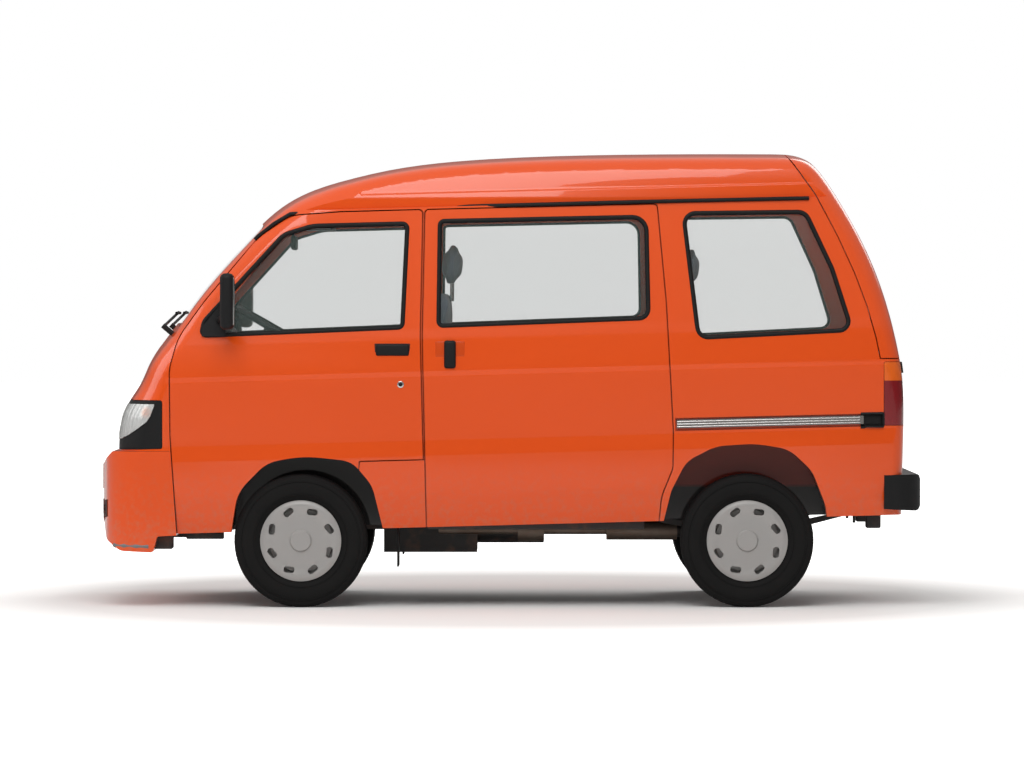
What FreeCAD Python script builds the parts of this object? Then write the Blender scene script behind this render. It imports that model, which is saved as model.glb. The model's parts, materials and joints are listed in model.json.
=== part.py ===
import FreeCAD, Part
import math
import os
from FreeCAD import Vector

# A five-seat glazed microvan with a raised roof: cab over the front axle, hinged front doors,
# sliding side doors, a top-hinged tailgate and twelve-inch wheels.
# Frame: +X forward, +Y to the van's left, +Z up, origin on the ground under the middle of the
# van. All sizes are in millimetres. The body stands nose-down by the slope named body_rake.

DRIVING_SIZES = [
    ("wheelbase", 1830, "front axle to rear axle"),
    ("front_overhang", 849, "front axle to the bumper's nose"),
    ("rear_overhang", 719, "rear axle to the rear bumper's back"),
    ("half_width", 697, "middle plane to the widest point of a side"),
    ("roof_height", 1872, "ground to the top of the raised roof"),
    ("sill_height", 338, "ground to the lower edge of the side, at mid length"),
    ("belt_height", 1108, "ground to the lower edge of the windows, at mid length"),
    ("body_rake", 0.0262, "rise of the body lines towards the rear, per length"),
    ("door_depth", 40, "thickness of a door or wall, skin to inner panel"),
    ("frame_depth", 26, "thickness of the door frames behind the doors"),
    ("door_gap", 5, "shut gap around doors and tailgate"),
    ("glass_inset", 8, "outer skin to the glass, square to the pane"),
    ("glass_thickness", 5, "thickness of a pane"),
    ("track", 1204, "wheel centre to wheel centre, both axles"),
    ("tyre_diameter", 546, "tyre over its tread"),
    ("tyre_width", 155, "tyre section width"),
    ("rim_diameter", 332, "rim over its flanges, and the wheel cover"),
    ("floor_thickness", 14, "floor sheet with its ribs"),
    ("cab_floor", 400, "ground to the top of the cab floor"),
    ("load_floor", 500, "ground to the top of the rear floor"),
    ("hub_bore", 30, "radius of the bearing bore in a wheel"),
    ("bearing_gap", 0.06, "radial running clearance of a wheel on its spindle"),
    ("kingpin_offset", 42, "wheel centre to kingpin, towards the middle"),
    ("steering_wheel_diameter", 372, "steering wheel over its rim"),
    ("chassis_rail_height", 80, "depth of a chassis rail"),
    ("axle_tube_diameter", 70, "rear axle tube"),
    ("exhaust_diameter", 38, "exhaust pipe"),
]

doc = FreeCAD.newDocument("microvan")
sheet = doc.addObject("Spreadsheet::Sheet", "sizes")
for row, (alias, value, meaning) in enumerate(DRIVING_SIZES, start=1):
    sheet.set(f"A{row}", meaning)
    sheet.set(f"B{row}", str(value))
    sheet.setAlias(f"B{row}", alias)
doc.recompute()


def size(alias):
    """The value of one named cell."""
    return float(getattr(sheet, alias))


FRONT = (size("front_overhang") + size("wheelbase") + size("rear_overhang")) / 2
REAR = -FRONT
FRONT_AXLE = FRONT - size("front_overhang")
REAR_AXLE = FRONT_AXLE - size("wheelbase")
HALF = size("half_width")
ROOF = size("roof_height")
SILL = size("sill_height")
BELT = size("belt_height")
RAKE = size("body_rake")
DEPTH = size("door_depth")
GAP = size("door_gap")
WHEEL_RADIUS = size("tyre_diameter") / 2
WHEEL_Y = size("track") / 2
FAR = 2000.0  # half the length of a cutting tool that runs through the whole van


# --- shape helpers ----------------------------------------------------------------------------

def interpolate(value, table):
    """Straight-line interpolation in a table of (key, result) pairs."""
    if value <= table[0][0]:
        return table[0][1]
    for (low, first), (high, second) in zip(table, table[1:]):
        if value <= high:
            return first + (second - first) * (value - low) / (high - low)
    return table[-1][1]


def rounded_wire(corners):
    """A closed wire through (Vector, radius) corners, each rounded by its own arc."""
    ends = []
    for index, (point, radius) in enumerate(corners):
        if radius <= 0:
            ends.append((point, None, point))
            continue
        back = (corners[index - 1][0] - point).normalize()
        ahead = (corners[(index + 1) % len(corners)][0] - point).normalize()
        half_angle = back.getAngle(ahead) / 2
        reach = radius / math.tan(half_angle)
        middle = (back + ahead).normalize() * (radius / math.sin(half_angle) - radius)
        ends.append((point + back * reach, point + middle, point + ahead * reach))
    edges = []
    for index, (start, middle, end) in enumerate(ends):
        if middle is not None:
            edges.append(Part.Arc(start, middle, end).toShape())
        following = ends[(index + 1) % len(ends)][0]
        if (following - end).Length > 1e-6:
            edges.append(Part.LineSegment(end, following).toShape())
    return Part.Wire(edges)


def side_prism(corners, low, high, grow=0.0):
    """An outline of (x, z, radius) corners, extruded across the van from y = low to high."""
    wire = rounded_wire([(Vector(x, low, z), radius) for x, z, radius in corners])
    if grow:
        wire = wire.makeOffset2D(grow)
    return Part.Face(wire).extrude(Vector(0, high - low, 0))


def plan_prism(corners, low, high):
    """An outline of (x, y, radius) corners, extruded upwards from z = low to high."""
    wire = rounded_wire([(Vector(x, y, low), radius) for x, y, radius in corners])
    return Part.Face(wire).extrude(Vector(0, 0, high - low))


def end_prism(corners, low, high):
    """An outline of (y, z, radius) corners, extruded along the van from x = low to high."""
    wire = rounded_wire([(Vector(low, y, z), radius) for y, z, radius in corners])
    return Part.Face(wire).extrude(Vector(high - low, 0, 0))


def box(low, high):
    """A box between two opposite corners."""
    return Part.makeBox(high[0] - low[0], high[1] - low[1], high[2] - low[2], Vector(*low))


def rod(start, end, radius):
    """A round bar between two points."""
    direction = Vector(*end) - Vector(*start)
    return Part.makeCylinder(radius, direction.Length, Vector(*start), direction)


def lathe(profile, centre):
    """A solid turned about the Y axis through centre, from (radius, y) corners."""
    points = [Vector(radius, y, 0) + Vector(*centre) for radius, y in profile]
    face = Part.Face(Part.makePolygon(points + points[:1]))
    return face.revolve(Vector(*centre), Vector(0, 1, 0), 360)


def mirrored(shape):
    """The same piece on the other side of the van."""
    return shape.mirror(Vector(0, 0, 0), Vector(0, 1, 0))


# --- outer form of the body ---------------------------------------------------------------------
# The body is a block with drawn sides, trimmed by one sheet that runs from the nose's lower
# edge over the windscreen, roof and tailgate to the rear's lower edge.

# corners of the side's section: (width from the widest point, height at mid length, radius)
SIDE_SECTION = [
    (-33, SILL, 0), (-21, SILL + 47, 60), (-7, SILL + 140, 60), (-1.5, SILL + 294, 12),
    (-6.5, SILL + 356, 15), (0, SILL + 617, 10), (-5, SILL + 639, 10), (-13, BELT, 80),
    (-21, BELT + 42, 60), (-93, ROOF - 222, 0), (-105, ROOF - 221, 0), (-107, ROOF - 168, 4),
    (-113, ROOF - 160, 4), (-113, ROOF + 328, 0),
]
SECTION_WIDTH = [
    (SILL - 138, -12), (SILL + 140, -4), (SILL + 294, 0), (SILL + 640, 0), (BELT, -12),
    (BELT + 42, -20), (ROOF - 222, -92), (ROOF - 150, -108), (ROOF + 400, -108),
]

# middle line of the wrapping sheet: (x, z, crown across the van, corner radius)
MIDDLE_LINE = [
    (FRONT - 105, 250, 45, 140), (FRONT - 92, 400, 45, 140), (FRONT - 76, 560, 45, 140),
    (FRONT - 72, 660, 45, 140), (FRONT - 84, 760, 45, 140), (FRONT - 116, 845, 45, 130),
    (FRONT - 155, 900, 45, 120), (FRONT - 186, 968, 45, 110), (FRONT - 231, 1052, 48, 95),
    (FRONT - 290, 1131, 50, 80), (FRONT - 381, ROOF - 614, 50, 75),
    (FRONT - 510, ROOF - 457, 50, 75), (FRONT - 601, ROOF - 361, 48, 78),
    (FRONT - 690, ROOF - 272, 45, 85), (FRONT - 785, ROOF - 200, 42, 90),
    (FRONT - 888, ROOF - 150, 40, 95), (FRONT - 1027, ROOF - 107, 38, 95),
    (FRONT - 1200, ROOF - 67, 36, 95), (FRONT - 1560, ROOF - 24, 35, 95),
    (FRONT - 1860, ROOF - 9, 35, 95), (REAR + 1094, ROOF - 0.5, 35, 95),
    (REAR + 600, ROOF, 35, 95), (REAR + 520, ROOF - 4, 35, 92), (REAR + 457, ROOF - 23, 33, 88),
    (REAR + 400, ROOF - 75, 30, 85), (REAR + 334, ROOF - 171, 28, 80),
    (REAR + 270, ROOF - 281, 26, 80), (REAR + 207, ROOF - 407, 25, 80),
    (REAR + 144, 1304, 25, 80), (REAR + 90, 1105, 25, 75), (REAR + 64, 960, 25, 70),
    (REAR + 56, 835, 25, 70), (REAR + 58, 660, 25, 70), (REAR + 62, 500, 25, 70),
    (REAR + 66, 250, 25, 70),
]
SHEET_ROWS = 80
SHEET_COLUMNS = 16
SHEET_HALF = 640.0
SHEET_OVERSHOOT = 5.0
FUZZ = 0.01


def wrapping_sheet(line, inset):
    """The sheet over a middle line, moved inwards by inset, as one smooth surface."""
    middle = Part.BSplineCurve()
    middle.interpolate([Vector(x, 0, z) for x, z, crown, radius in line])
    keys = [middle.parameter(Vector(x, 0, z)) for x, z, crown, radius in line]
    crowns = list(zip(keys, [crown for x, z, crown, radius in line]))
    radii = list(zip(keys, [radius for x, z, crown, radius in line]))
    rows = []
    for row in range(SHEET_ROWS):
        key = keys[0] + (keys[-1] - keys[0]) * row / (SHEET_ROWS - 1)
        tangent = middle.tangent(key)[0]
        outward = Vector(tangent.z, 0, -tangent.x)
        crown = interpolate(key, crowns)
        radius = max(interpolate(key, radii) - inset, 14.0)
        flat = SHEET_HALF - radius
        length = flat + radius * math.pi / 2
        points = []
        for column in range(SHEET_COLUMNS + 1):
            along = length * column / SHEET_COLUMNS
            turn = max(0.0, along - flat) / radius
            reach = min(along, flat) + radius * math.sin(turn)
            drop = crown * (reach / SHEET_HALF) ** 2 + radius * (1 - math.cos(turn)) + inset
            point = middle.value(key) - outward * drop
            width = HALF + interpolate(point.z + RAKE * point.x, SECTION_WIDTH)
            point.y = (width - inset + SHEET_OVERSHOOT) * reach / SHEET_HALF
            points.append(point)
        rows.append([Vector(p.x, -p.y, p.z) for p in points[:0:-1]] + points)
    surface = Part.BSplineSurface()
    surface.interpolate(rows)
    return surface.toShape()


def side_block(inset):
    """The block between the two sides, each moved inwards by inset."""
    half = [(HALF + width - inset, z, radius) for width, z, radius in SIDE_SECTION]
    left = [(Vector(FAR, y, z - RAKE * FAR), radius) for y, z, radius in half]
    right = [(Vector(FAR, -y, z - RAKE * FAR), radius) for y, z, radius in reversed(half)]
    return Part.Face(rounded_wire(left + right)).extrude(Vector(-2 * FAR, 0, 2 * FAR * RAKE))


def envelope(line, inset):
    """The solid inside both the sheet and the sides."""
    pieces, history = side_block(inset).generalFuse([wrapping_sheet(line, inset)], FUZZ)
    return min(pieces.Solids, key=lambda solid: solid.CenterOfMass.Length)


outer = envelope(MIDDLE_LINE, 0.0)
door_inside = envelope(MIDDLE_LINE, DEPTH)
wall_inside = envelope(MIDDLE_LINE, DEPTH + GAP)
cabin = envelope(MIDDLE_LINE, DEPTH + GAP + size("frame_depth"))
pane_outside = envelope(MIDDLE_LINE, size("glass_inset"))
pane_inside = envelope(MIDDLE_LINE, size("glass_inset") + size("glass_thickness"))
glass_layer = pane_outside.cut(pane_inside)

# --- outlines of doors, windows and wheel arches, as seen from the left side --------------------
# Each is a list of (x, z, radius) corners. The front ones hang from the front axle's place, the
# rear ones from the rear axle's, and the upper ones from the roof.

FA = FRONT_AXLE
RA = REAR_AXLE

front_arch = [
    (FA + 306, 180, 0), (FA + 258, 472, 170), (FA + 138, 594, 150), (FA - 10, 622, 500),
    (FA - 210, 600, 110), (FA - 294, 500, 150), (FA - 372, 180, 0),
]
rear_arch = [
    (RA + 384, 180, 0), (RA + 312, 480, 150), (RA + 250, 600, 120), (RA + 130, 662, 200),
    (RA - 30, 672, 400), (RA - 170, 650, 150), (RA - 265, 560, 130), (RA - 320, 420, 150),
    (RA - 352, 180, 0),
]
front_door_opening = [
    (FA - 503, ROOF - 238, 20), (FA - 163, ROOF - 247, 300), (FA + 45, ROOF - 262, 150),
    (FA + 180, ROOF - 354, 300), (FA + 398, ROOF - 616, 600), (FA + 505, BELT - 2, 260),
    (FA + 539, BELT - 130, 200), (FA + 536, 700, 300), (FA + 501, 200, 0), (FA - 210, 200, 0),
    (FA - 244, 597, 0), (FA - 506, 604, 0), (FA - 493, BELT, 900),
]
sliding_door_opening = [
    (FA - 506, ROOF - 238, 20), (RA + 366, ROOF - 215, 20), (RA + 330, BELT + 148, 900),
    (RA + 301, 720, 900), (RA + 303, 570, 60), (RA + 350, 455, 200), (RA + 372, 200, 0),
    (FA - 516, 200, 0), (FA - 496, BELT, 900),
]
front_window = [
    (FA - 438, ROOF - 298, 22), (FA - 47, ROOF - 308, 200), (FA + 71, ROOF - 344, 90),
    (FA + 396, ROOF - 700, 90), (FA + 408, BELT + 4, 20), (FA - 418, BELT + 38, 22),
]
sliding_window = [
    (FA - 569, ROOF - 288, 20), (RA + 412, ROOF - 270, 60), (RA + 404, BELT + 76, 40),
    (FA - 564, BELT + 44, 20),
]
quarter_window = [
    (RA + 262, ROOF - 256, 45), (RA - 240, ROOF - 250, 50), (RA - 349, ROOF - 484, 300),
    (RA - 428, BELT + 28, 40), (RA + 201, BELT - 4, 45),
]
tailgate_line = [
    (REAR + 549, ROOF + 90, 0), (REAR + 549, ROOF - 25, 0), (REAR + 440, ROOF - 178, 0),
    (REAR + 349, ROOF - 353, 0), (REAR + 283, ROOF - 499, 0), (REAR + 232, 1235, 0),
    (REAR + 195, 1103, 0), (REAR + 178, 1018, 0), (REAR - 90, 1018, 0), (REAR - 90, ROOF + 90, 0),
]
roof_line = [
    (REAR - 60, ROOF + 90, 0), (REAR - 60, ROOF - 182, 0), (RA - 279, ROOF - 194, 0),
    (RA + 440, ROOF - 209, 0), (FA - 408, ROOF - 234, 0), (FA - 163, ROOF - 243, 0),
    (FA + 45, ROOF - 257, 0), (FA + 178, ROOF - 349, 0), (FRONT, ROOF - 350, 0),
    (FRONT, ROOF + 90, 0),
]
headlight_outline = [
    (FRONT - 284, 850, 12), (FRONT - 284, 650, 8), (FRONT + 60, 641, 0), (FRONT + 60, 850, 0),
]
LAMP_INNER_EDGE = 372
TAIL_LAMP_INNER_EDGE = 548
tail_light_outline = [
    (REAR + 162, 1008, 8), (REAR + 162, 746, 8), (REAR - 60, 746, 0), (REAR - 60, 1008, 0),
]
rail_recess = [
    (RA + 296, 777, 0), (RA + 296, 724, 0), (RA - 556, 744, 0), (RA - 556, 797, 0),
]
rail_outline = [
    (RA + 290, 769, 2), (RA + 290, 735, 2), (RA - 475, 753, 2), (RA - 475, 787, 2),
]
JOIN_X = FA + 150  # where the front structure meets the sides
NEAR = 250.0  # nearest the middle plane that a tool for one side reaches
WIDE = HALF + 100


def left_prism(corners, grow=0.0):
    """A prism through the left side only."""
    return side_prism(corners, NEAR, WIDE, grow)


def through_prism(corners, grow=0.0):
    """A prism through both sides."""
    return side_prism(corners, -WIDE, WIDE, grow)


SCREEN_FOOT = Vector(FRONT - 290, 0, 1131)
SCREEN_HEAD = Vector(FRONT - 690, 0, ROOF - 272)
screen_up = (SCREEN_HEAD - SCREEN_FOOT).normalize()
screen_out = Vector(screen_up.z, 0, -screen_up.x)
screen_height = (SCREEN_HEAD - SCREEN_FOOT).Length
screen_corners = [
    (HALF - 122, 40, 70), (HALF - 188, screen_height - 28, 80),
    (188 - HALF, screen_height - 28, 80), (122 - HALF, 40, 70),
]
screen_wire = rounded_wire([
    (SCREEN_FOOT + screen_up * along + Vector(0, across, 0) - screen_out * 120, radius)
    for across, along, radius in screen_corners
])
screen_prism = Part.Face(screen_wire).extrude(screen_out * 240)

rear_window_prism = end_prism(
    [(HALF - 132, 1185, 50), (HALF - 195, ROOF - 235, 50),
     (195 - HALF, ROOF - 235, 50), (132 - HALF, 1185, 50)], REAR - 100, REAR + 420)
tailgate_lower = [(540, 1060, 0), (-540, 1060, 0), (-540, 556, 12), (540, 556, 12)]


def tailgate_tool(grow):
    """The space of the tailgate: the whole width above the lamps, and between them below."""
    lower = [(math.copysign(abs(y) + grow, y), z - grow * (z < BELT - 200), radius)
             for y, z, radius in tailgate_lower]
    return through_prism(tailgate_line, grow).fuse(end_prism(lower, REAR - 80, REAR + 240))


# --- body panels ---------------------------------------------------------------------------------

nodes = {}

front_tool = left_prism(front_door_opening)
sliding_tool = left_prism(sliding_door_opening)
pocket_floor = side_block(DEPTH + GAP)
door_pockets = [tool.cut(pocket_floor) for tool in (front_tool, sliding_tool)]
APERTURE_LIP = 34.0
front_aperture_low = side_prism(
    [(x, max(z, SILL + 62) if z < SILL else z, radius)
     for x, z, radius in front_door_opening], NEAR, WIDE, -APERTURE_LIP)
sliding_aperture_low = side_prism(
    [(x, max(z, SILL + 22) if z < SILL else z, radius)
     for x, z, radius in sliding_door_opening], NEAR, WIDE, -APERTURE_LIP)
aperture_tools = [front_aperture_low, sliding_aperture_low]
arch_tools = [through_prism(front_arch), through_prism(rear_arch)]

shell = outer.cut(cabin)
upper = through_prism(roof_line)
tailgate_space = tailgate_tool(0.0)
lower_shell = shell.cut(upper).cut(tailgate_space)


def opened(panel, both_sides):
    """A panel with the door pockets, apertures, windows and arches cut out."""
    tools = door_pockets + aperture_tools + [left_prism(quarter_window)]
    if both_sides:
        tools = tools + [mirrored(tool) for tool in tools]
    return panel.cut(tools + arch_tools)


left_half = box((REAR - 100, 0, 0), (JOIN_X, WIDE, ROOF + 100))
rear_strip = box((REAR - 50, -560, 0), (REAR + 230, 560, 545))
lamp_space = through_prism(tail_light_outline).cut(
    box((REAR - 100, -TAIL_LAMP_INNER_EDGE, 0), (0, TAIL_LAMP_INNER_EDGE, ROOF)))
side = lower_shell.common(left_half).cut(rear_strip).cut(lamp_space.cut(wall_inside))
side = opened(side, False).cut(side_prism(rail_recess, HALF - 24, WIDE))
nodes["left_side_panel"] = side
nodes["right_side_panel"] = mirrored(side)
nodes["rear_lower_panel"] = lower_shell.common(rear_strip)
nodes["tail_lights"] = outer.cut(wall_inside).common(
    side_prism(tail_light_outline, -WIDE, WIDE, -2.0).cut(
        box((REAR - 100, -TAIL_LAMP_INNER_EDGE - 2, 0), (0, TAIL_LAMP_INNER_EDGE + 2, ROOF))))

rail = side_prism(rail_outline, HALF - 24, HALF - 7)
nodes["slide_rails"] = Part.makeCompound([rail, mirrored(rail)])

nose = box((JOIN_X, -WIDE, 0), (FRONT + 100, WIDE, ROOF + 100))
bumper_space = side_prism(
    [(FA + 487, 0, 0), (FRONT + 100, 0, 0), (FRONT + 100, 641, 0), (FA + 532, 641, 0)], -WIDE, WIDE)
headlight_space = through_prism(headlight_outline).cut(
    box((0, -LAMP_INNER_EDGE, 0), (FRONT + 100, LAMP_INNER_EDGE, ROOF)))
front = lower_shell.common(nose).cut(bumper_space).cut(headlight_space.cut(wall_inside))
nodes["front_panel"] = opened(front, True).cut(screen_prism)
nodes["headlights"] = outer.cut(wall_inside).common(
    through_prism(headlight_outline, -2.0).cut(
        box((0, -LAMP_INNER_EDGE - 2, 0), (FRONT + 100, LAMP_INNER_EDGE + 2, ROOF))))
nodes["windscreen"] = glass_layer.common(screen_prism)
roof = outer.cut(wall_inside).common(upper).cut(tailgate_space).cut(screen_prism)
nodes["roof"] = roof

# --- doors ---------------------------------------------------------------------------------------


def door_leaf(opening, window):
    """One door: skin, inner panel and window frame, cut out by its window and the arches."""
    leaf = outer.common(left_prism(opening, -GAP)).cut(side_block(DEPTH))
    return leaf.cut([left_prism(window)] + arch_tools)


def side_panes(window):
    """The pane in one window outline."""
    return glass_layer.common(left_prism(window))


front_door = door_leaf(front_door_opening, front_window)
sliding_door = door_leaf(sliding_door_opening, sliding_window).cut(
    side_prism(rail_recess, HALF - 24, WIDE))
nodes["left_front_door"] = front_door
nodes["right_front_door"] = mirrored(front_door)
nodes["left_sliding_door"] = sliding_door
nodes["right_sliding_door"] = mirrored(sliding_door)
front_pane = side_panes(front_window)
nodes["left_front_door_glass"] = front_pane
nodes["right_front_door_glass"] = mirrored(front_pane)
rear_panes = [side_panes(sliding_window), side_panes(quarter_window)]
nodes["side_glass"] = Part.makeCompound(rear_panes + [mirrored(pane) for pane in rear_panes])

nodes["tailgate"] = outer.cut(door_inside).common(tailgate_tool(-GAP)).cut(rear_window_prism)
nodes["tailgate_glass"] = glass_layer.common(rear_window_prism)

mirror_base = side_prism(
    [(FA + 402, BELT + 50, 4), (FA + 402, BELT + 4, 4), (FA + 308, BELT + 6, 4),
     (FA + 312, BELT + 150, 4)], HALF - 32, HALF - 6)
mirror_head = side_prism(
    [(FA + 263, ROOF - 502, 24), (FA + 320, ROOF - 506, 24), (FA + 322, BELT + 30, 24),
     (FA + 265, BELT + 30, 24)], HALF + 36, HALF + 168)
mirror_arm = rod((FA + 336, HALF - 10, BELT + 60), (FA + 300, HALF + 60, BELT + 90), 16)
mirror = mirror_head.fuse([mirror_arm, mirror_base]).cut(outer)
nodes["left_mirror"] = mirror
nodes["right_mirror"] = mirrored(mirror)

# --- bumpers -------------------------------------------------------------------------------------


def nose_outline(inset):
    """Plan outline of the front bumper, moved inwards by inset."""
    half = [(FA + 500, HALF - 5 - inset, 0), (FRONT - 62 - inset, HALF - 5 - inset, 165 - inset)]
    tip = [(FRONT + 23 - inset, 0, 3500)]
    return half + tip + [(x, -y, radius) for x, y, radius in reversed(half)]


bumper_profile = [
    (FA + 532, 640, 0), (FRONT - 75, 640, 10), (FRONT - 8, 572, 30), (FRONT + 2, 520, 30),
    (FRONT - 6, 400, 90), (FRONT - 40, 280, 60), (FRONT - 108, 232, 50), (FRONT - 245, 226, 12),
    (FRONT - 262, 292, 12), (FA + 508, 296, 0),
]
bumper = side_prism(bumper_profile, -WIDE, WIDE).common(plan_prism(nose_outline(0), 150, 660))
bumper_hollow = side_prism(
    [(FA + 480, 700, 0), (FA + 660, 700, 0), (FA + 660, 600, 0), (FRONT + 60, 600, 0),
     (FRONT + 60, 345, 0), (FA + 480, 345, 0)],
    -WIDE, WIDE).common(plan_prism(nose_outline(34), 150, 660))
nodes["front_bumper"] = bumper.cut(bumper_hollow).cut(arch_tools)

rear_outline = [
    (REAR + 160, HALF - 6, 0), (REAR + 8, HALF - 6, 105), (REAR - 14, 0, 4500),
    (REAR + 8, 6 - HALF, 105), (REAR + 160, 6 - HALF, 0),
]
rear_profile = [
    (REAR + 160, 543, 0), (REAR + 160, 404, 0), (REAR + 18, 396, 20), (REAR - 2, 430, 30),
    (REAR - 2, 505, 30), (REAR + 14, 546, 12),
]
rear_bumper = side_prism(rear_profile, -WIDE, WIDE).common(plan_prism(rear_outline, 350, 600))
nodes["rear_bumper"] = rear_bumper.cut(outer)

# --- floor, seats and dashboard --------------------------------------------------------------------

KING_Y = WHEEL_Y - size("kingpin_offset")
KNUCKLE_LOW = WHEEL_RADIUS - 68
KNUCKLE_HIGH = WHEEL_RADIUS + 68
ARM_GAP = 5.0
ARM_THICKNESS = 18.0

SHEET = size("floor_thickness")
CAB = size("cab_floor")
LOAD = size("load_floor")
SEAT_BOX = 655.0
WHEEL_WALL = 346.0  # inner wall of a front wheel housing, from the middle plane
REAR_WHEEL_WALL = 440.0
floor_top = [
    (FA + 610, CAB + 260), (FA + 470, CAB), (FA - 200, CAB), (FA - 235, SEAT_BOX),
    (FA - 735, SEAT_BOX), (FA - 770, LOAD), (REAR + 110, LOAD),
]
floor_strip = side_prism(
    [(x, z, 0) for x, z in floor_top]
    + [(REAR + 110, LOAD - SHEET, 0), (FA - 758, LOAD - SHEET, 0),
       (FA - 724, SEAT_BOX - SHEET, 0), (FA - 248, SEAT_BOX - SHEET, 0),
       (FA - 213, CAB - SHEET, 0), (FA + 478, CAB - SHEET, 0), (FA + 624, CAB + 252, 0)],
    -WIDE, WIDE)


def wheel_housing(arch, wall):
    """The sheet box over one wheel, open outwards and below."""
    side_wall = HALF - DEPTH - GAP
    hull = side_prism(arch, wall, side_wall, SHEET)
    hollow = side_prism(arch, wall + SHEET, WIDE)
    ground_clear = box((-FAR, -WIDE, 0), (FAR, WIDE, CAB - SHEET - 60))
    arm_notch = box((FA - 80, 0, 0), (FA + 80, WIDE, KNUCKLE_HIGH + ARM_GAP + ARM_THICKNESS + 8))
    return hull.cut([hollow, ground_clear, arm_notch])


housings = [wheel_housing(front_arch, WHEEL_WALL), wheel_housing(rear_arch, REAR_WHEEL_WALL)]
hollows = [side_prism(front_arch, WHEEL_WALL + SHEET, WIDE),
           side_prism(rear_arch, REAR_WHEEL_WALL + SHEET, WIDE)]
both = housings + [mirrored(housing) for housing in housings]
voids = hollows + [mirrored(hollow) for hollow in hollows]
housing_set = Part.makeCompound(both).common(cabin)
nodes["wheel_housings"] = housing_set
nodes["floor_pan"] = floor_strip.common(cabin).cut(voids + both)

SEAT_Y = 330.0
SEAT_FRONT = FA - 20
seat_profile = [
    (SEAT_FRONT, SEAT_BOX + 20, 30), (SEAT_FRONT, SEAT_BOX + 165, 50),
    (SEAT_FRONT - 400, SEAT_BOX + 150, 20), (SEAT_FRONT - 520, SEAT_BOX + 650, 30),
    (SEAT_FRONT - 622, SEAT_BOX + 640, 40), (SEAT_FRONT - 505, SEAT_BOX + 20, 30),
]
head_profile = [
    (SEAT_FRONT - 545, SEAT_BOX + 672, 25), (SEAT_FRONT - 560, SEAT_BOX + 840, 30),
    (SEAT_FRONT - 640, SEAT_BOX + 838, 30), (SEAT_FRONT - 640, SEAT_BOX + 670, 25),
]


def seat(middle, half_width, profile, head, head_offsets):
    """A seat with its headrests on posts, and a low plinth that stands on the floor."""
    pieces = [side_prism(profile, middle - half_width, middle + half_width)]
    for offset in head_offsets:
        pieces.append(side_prism(head, middle + offset - 115, middle + offset + 115))
        for post in (-45, 45):
            foot = head[0][0] - 48
            pieces.append(rod((foot, middle + offset + post, head[0][1] - 90),
                              (foot, middle + offset + post, head[0][1] + 30), 6))
    return pieces[0].fuse(pieces[1:])


def plinth(front, back, middle, half_width, low, high):
    """The frame under a seat."""
    return box((back, middle - half_width, low), (front, middle + half_width, high))


driver_seat = seat(SEAT_Y, 240, seat_profile, head_profile, (0,)).fuse(
    plinth(SEAT_FRONT - 235, SEAT_FRONT - 480, SEAT_Y, 180, SEAT_BOX, SEAT_BOX + 30))
nodes["front_seats"] = Part.makeCompound([driver_seat, mirrored(driver_seat)])

REAR_SEAT = RA + 790
rear_seat_profile = [
    (REAR_SEAT, LOAD + 200, 40), (REAR_SEAT, LOAD + 330, 50),
    (REAR_SEAT - 400, LOAD + 310, 20), (REAR_SEAT - 490, LOAD + 790, 30),
    (REAR_SEAT - 590, LOAD + 780, 40), (REAR_SEAT - 500, LOAD + 200, 30),
]
rear_head = [
    (REAR_SEAT - 512, LOAD + 812, 25), (REAR_SEAT - 530, LOAD + 975, 30),
    (REAR_SEAT - 605, LOAD + 973, 30), (REAR_SEAT - 600, LOAD + 810, 25),
]
nodes["rear_seat"] = seat(0, 560, rear_seat_profile, rear_head, (-330, 330)).fuse(
    plinth(REAR_SEAT - 60, REAR_SEAT - 440, 0, 400, LOAD, LOAD + 210))

COLUMN_HEAD = Vector(FA + 118, SEAT_Y, BELT + 30)
column_out = Vector(-0.5, 0, math.sqrt(0.75))
SHAFT_RADIUS = 12.0
dash = side_prism(
    [(FA + 290, BELT - 40, 40), (FA + 600, BELT + 8, 0), (FA + 640, BELT - 60, 0),
     (FA + 640, BELT - 250, 0), (FA + 470, BELT - 270, 40), (FA + 310, BELT - 190, 60)],
    -WIDE, WIDE).common(cabin)
binnacle = side_prism(
    [(FA + 280, BELT - 60, 20), (FA + 285, BELT + 40, 40), (FA + 420, BELT + 62, 60),
     (FA + 560, BELT - 20, 0), (FA + 420, BELT - 120, 0)], SEAT_Y - 190, SEAT_Y + 190)
tube_end = COLUMN_HEAD - column_out * 48
column_foot = COLUMN_HEAD - column_out * 300
column = rod(tuple(column_foot), tuple(tube_end), 30).fuse(
    rod(tuple(tube_end - column_out * 5), tuple(COLUMN_HEAD - column_out * 6), SHAFT_RADIUS))
column_bracket = box((FA + 230, SEAT_Y - 26, BELT - 190), (FA + 400, SEAT_Y + 26, BELT - 110))
nodes["dashboard"] = dash.fuse([binnacle.common(cabin), column, column_bracket])

wheel_ring = size("steering_wheel_diameter") / 2 - 14
ring = Part.makeTorus(wheel_ring, 14, COLUMN_HEAD, column_out)
hub = rod(tuple(COLUMN_HEAD - column_out * 40), tuple(COLUMN_HEAD + column_out * 4), 42)
hub_hole = rod(tuple(COLUMN_HEAD - column_out * 41), tuple(COLUMN_HEAD - column_out * 5),
               SHAFT_RADIUS + size("bearing_gap"))
forward_up = Vector(column_out.z, 0, -column_out.x)
spokes = []
for turn in (90, 210, 330):
    reach = forward_up * math.cos(math.radians(turn)) * wheel_ring
    reach = reach + Vector(0, math.sin(math.radians(turn)) * wheel_ring, 0)
    spokes.append(rod(tuple(COLUMN_HEAD - column_out * 12), tuple(COLUMN_HEAD + reach), 9))
nodes["steering_wheel"] = hub.fuse(spokes + [ring]).cut(hub_hole)

# --- chassis, engine, axles and exhaust ----------------------------------------------------------

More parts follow.
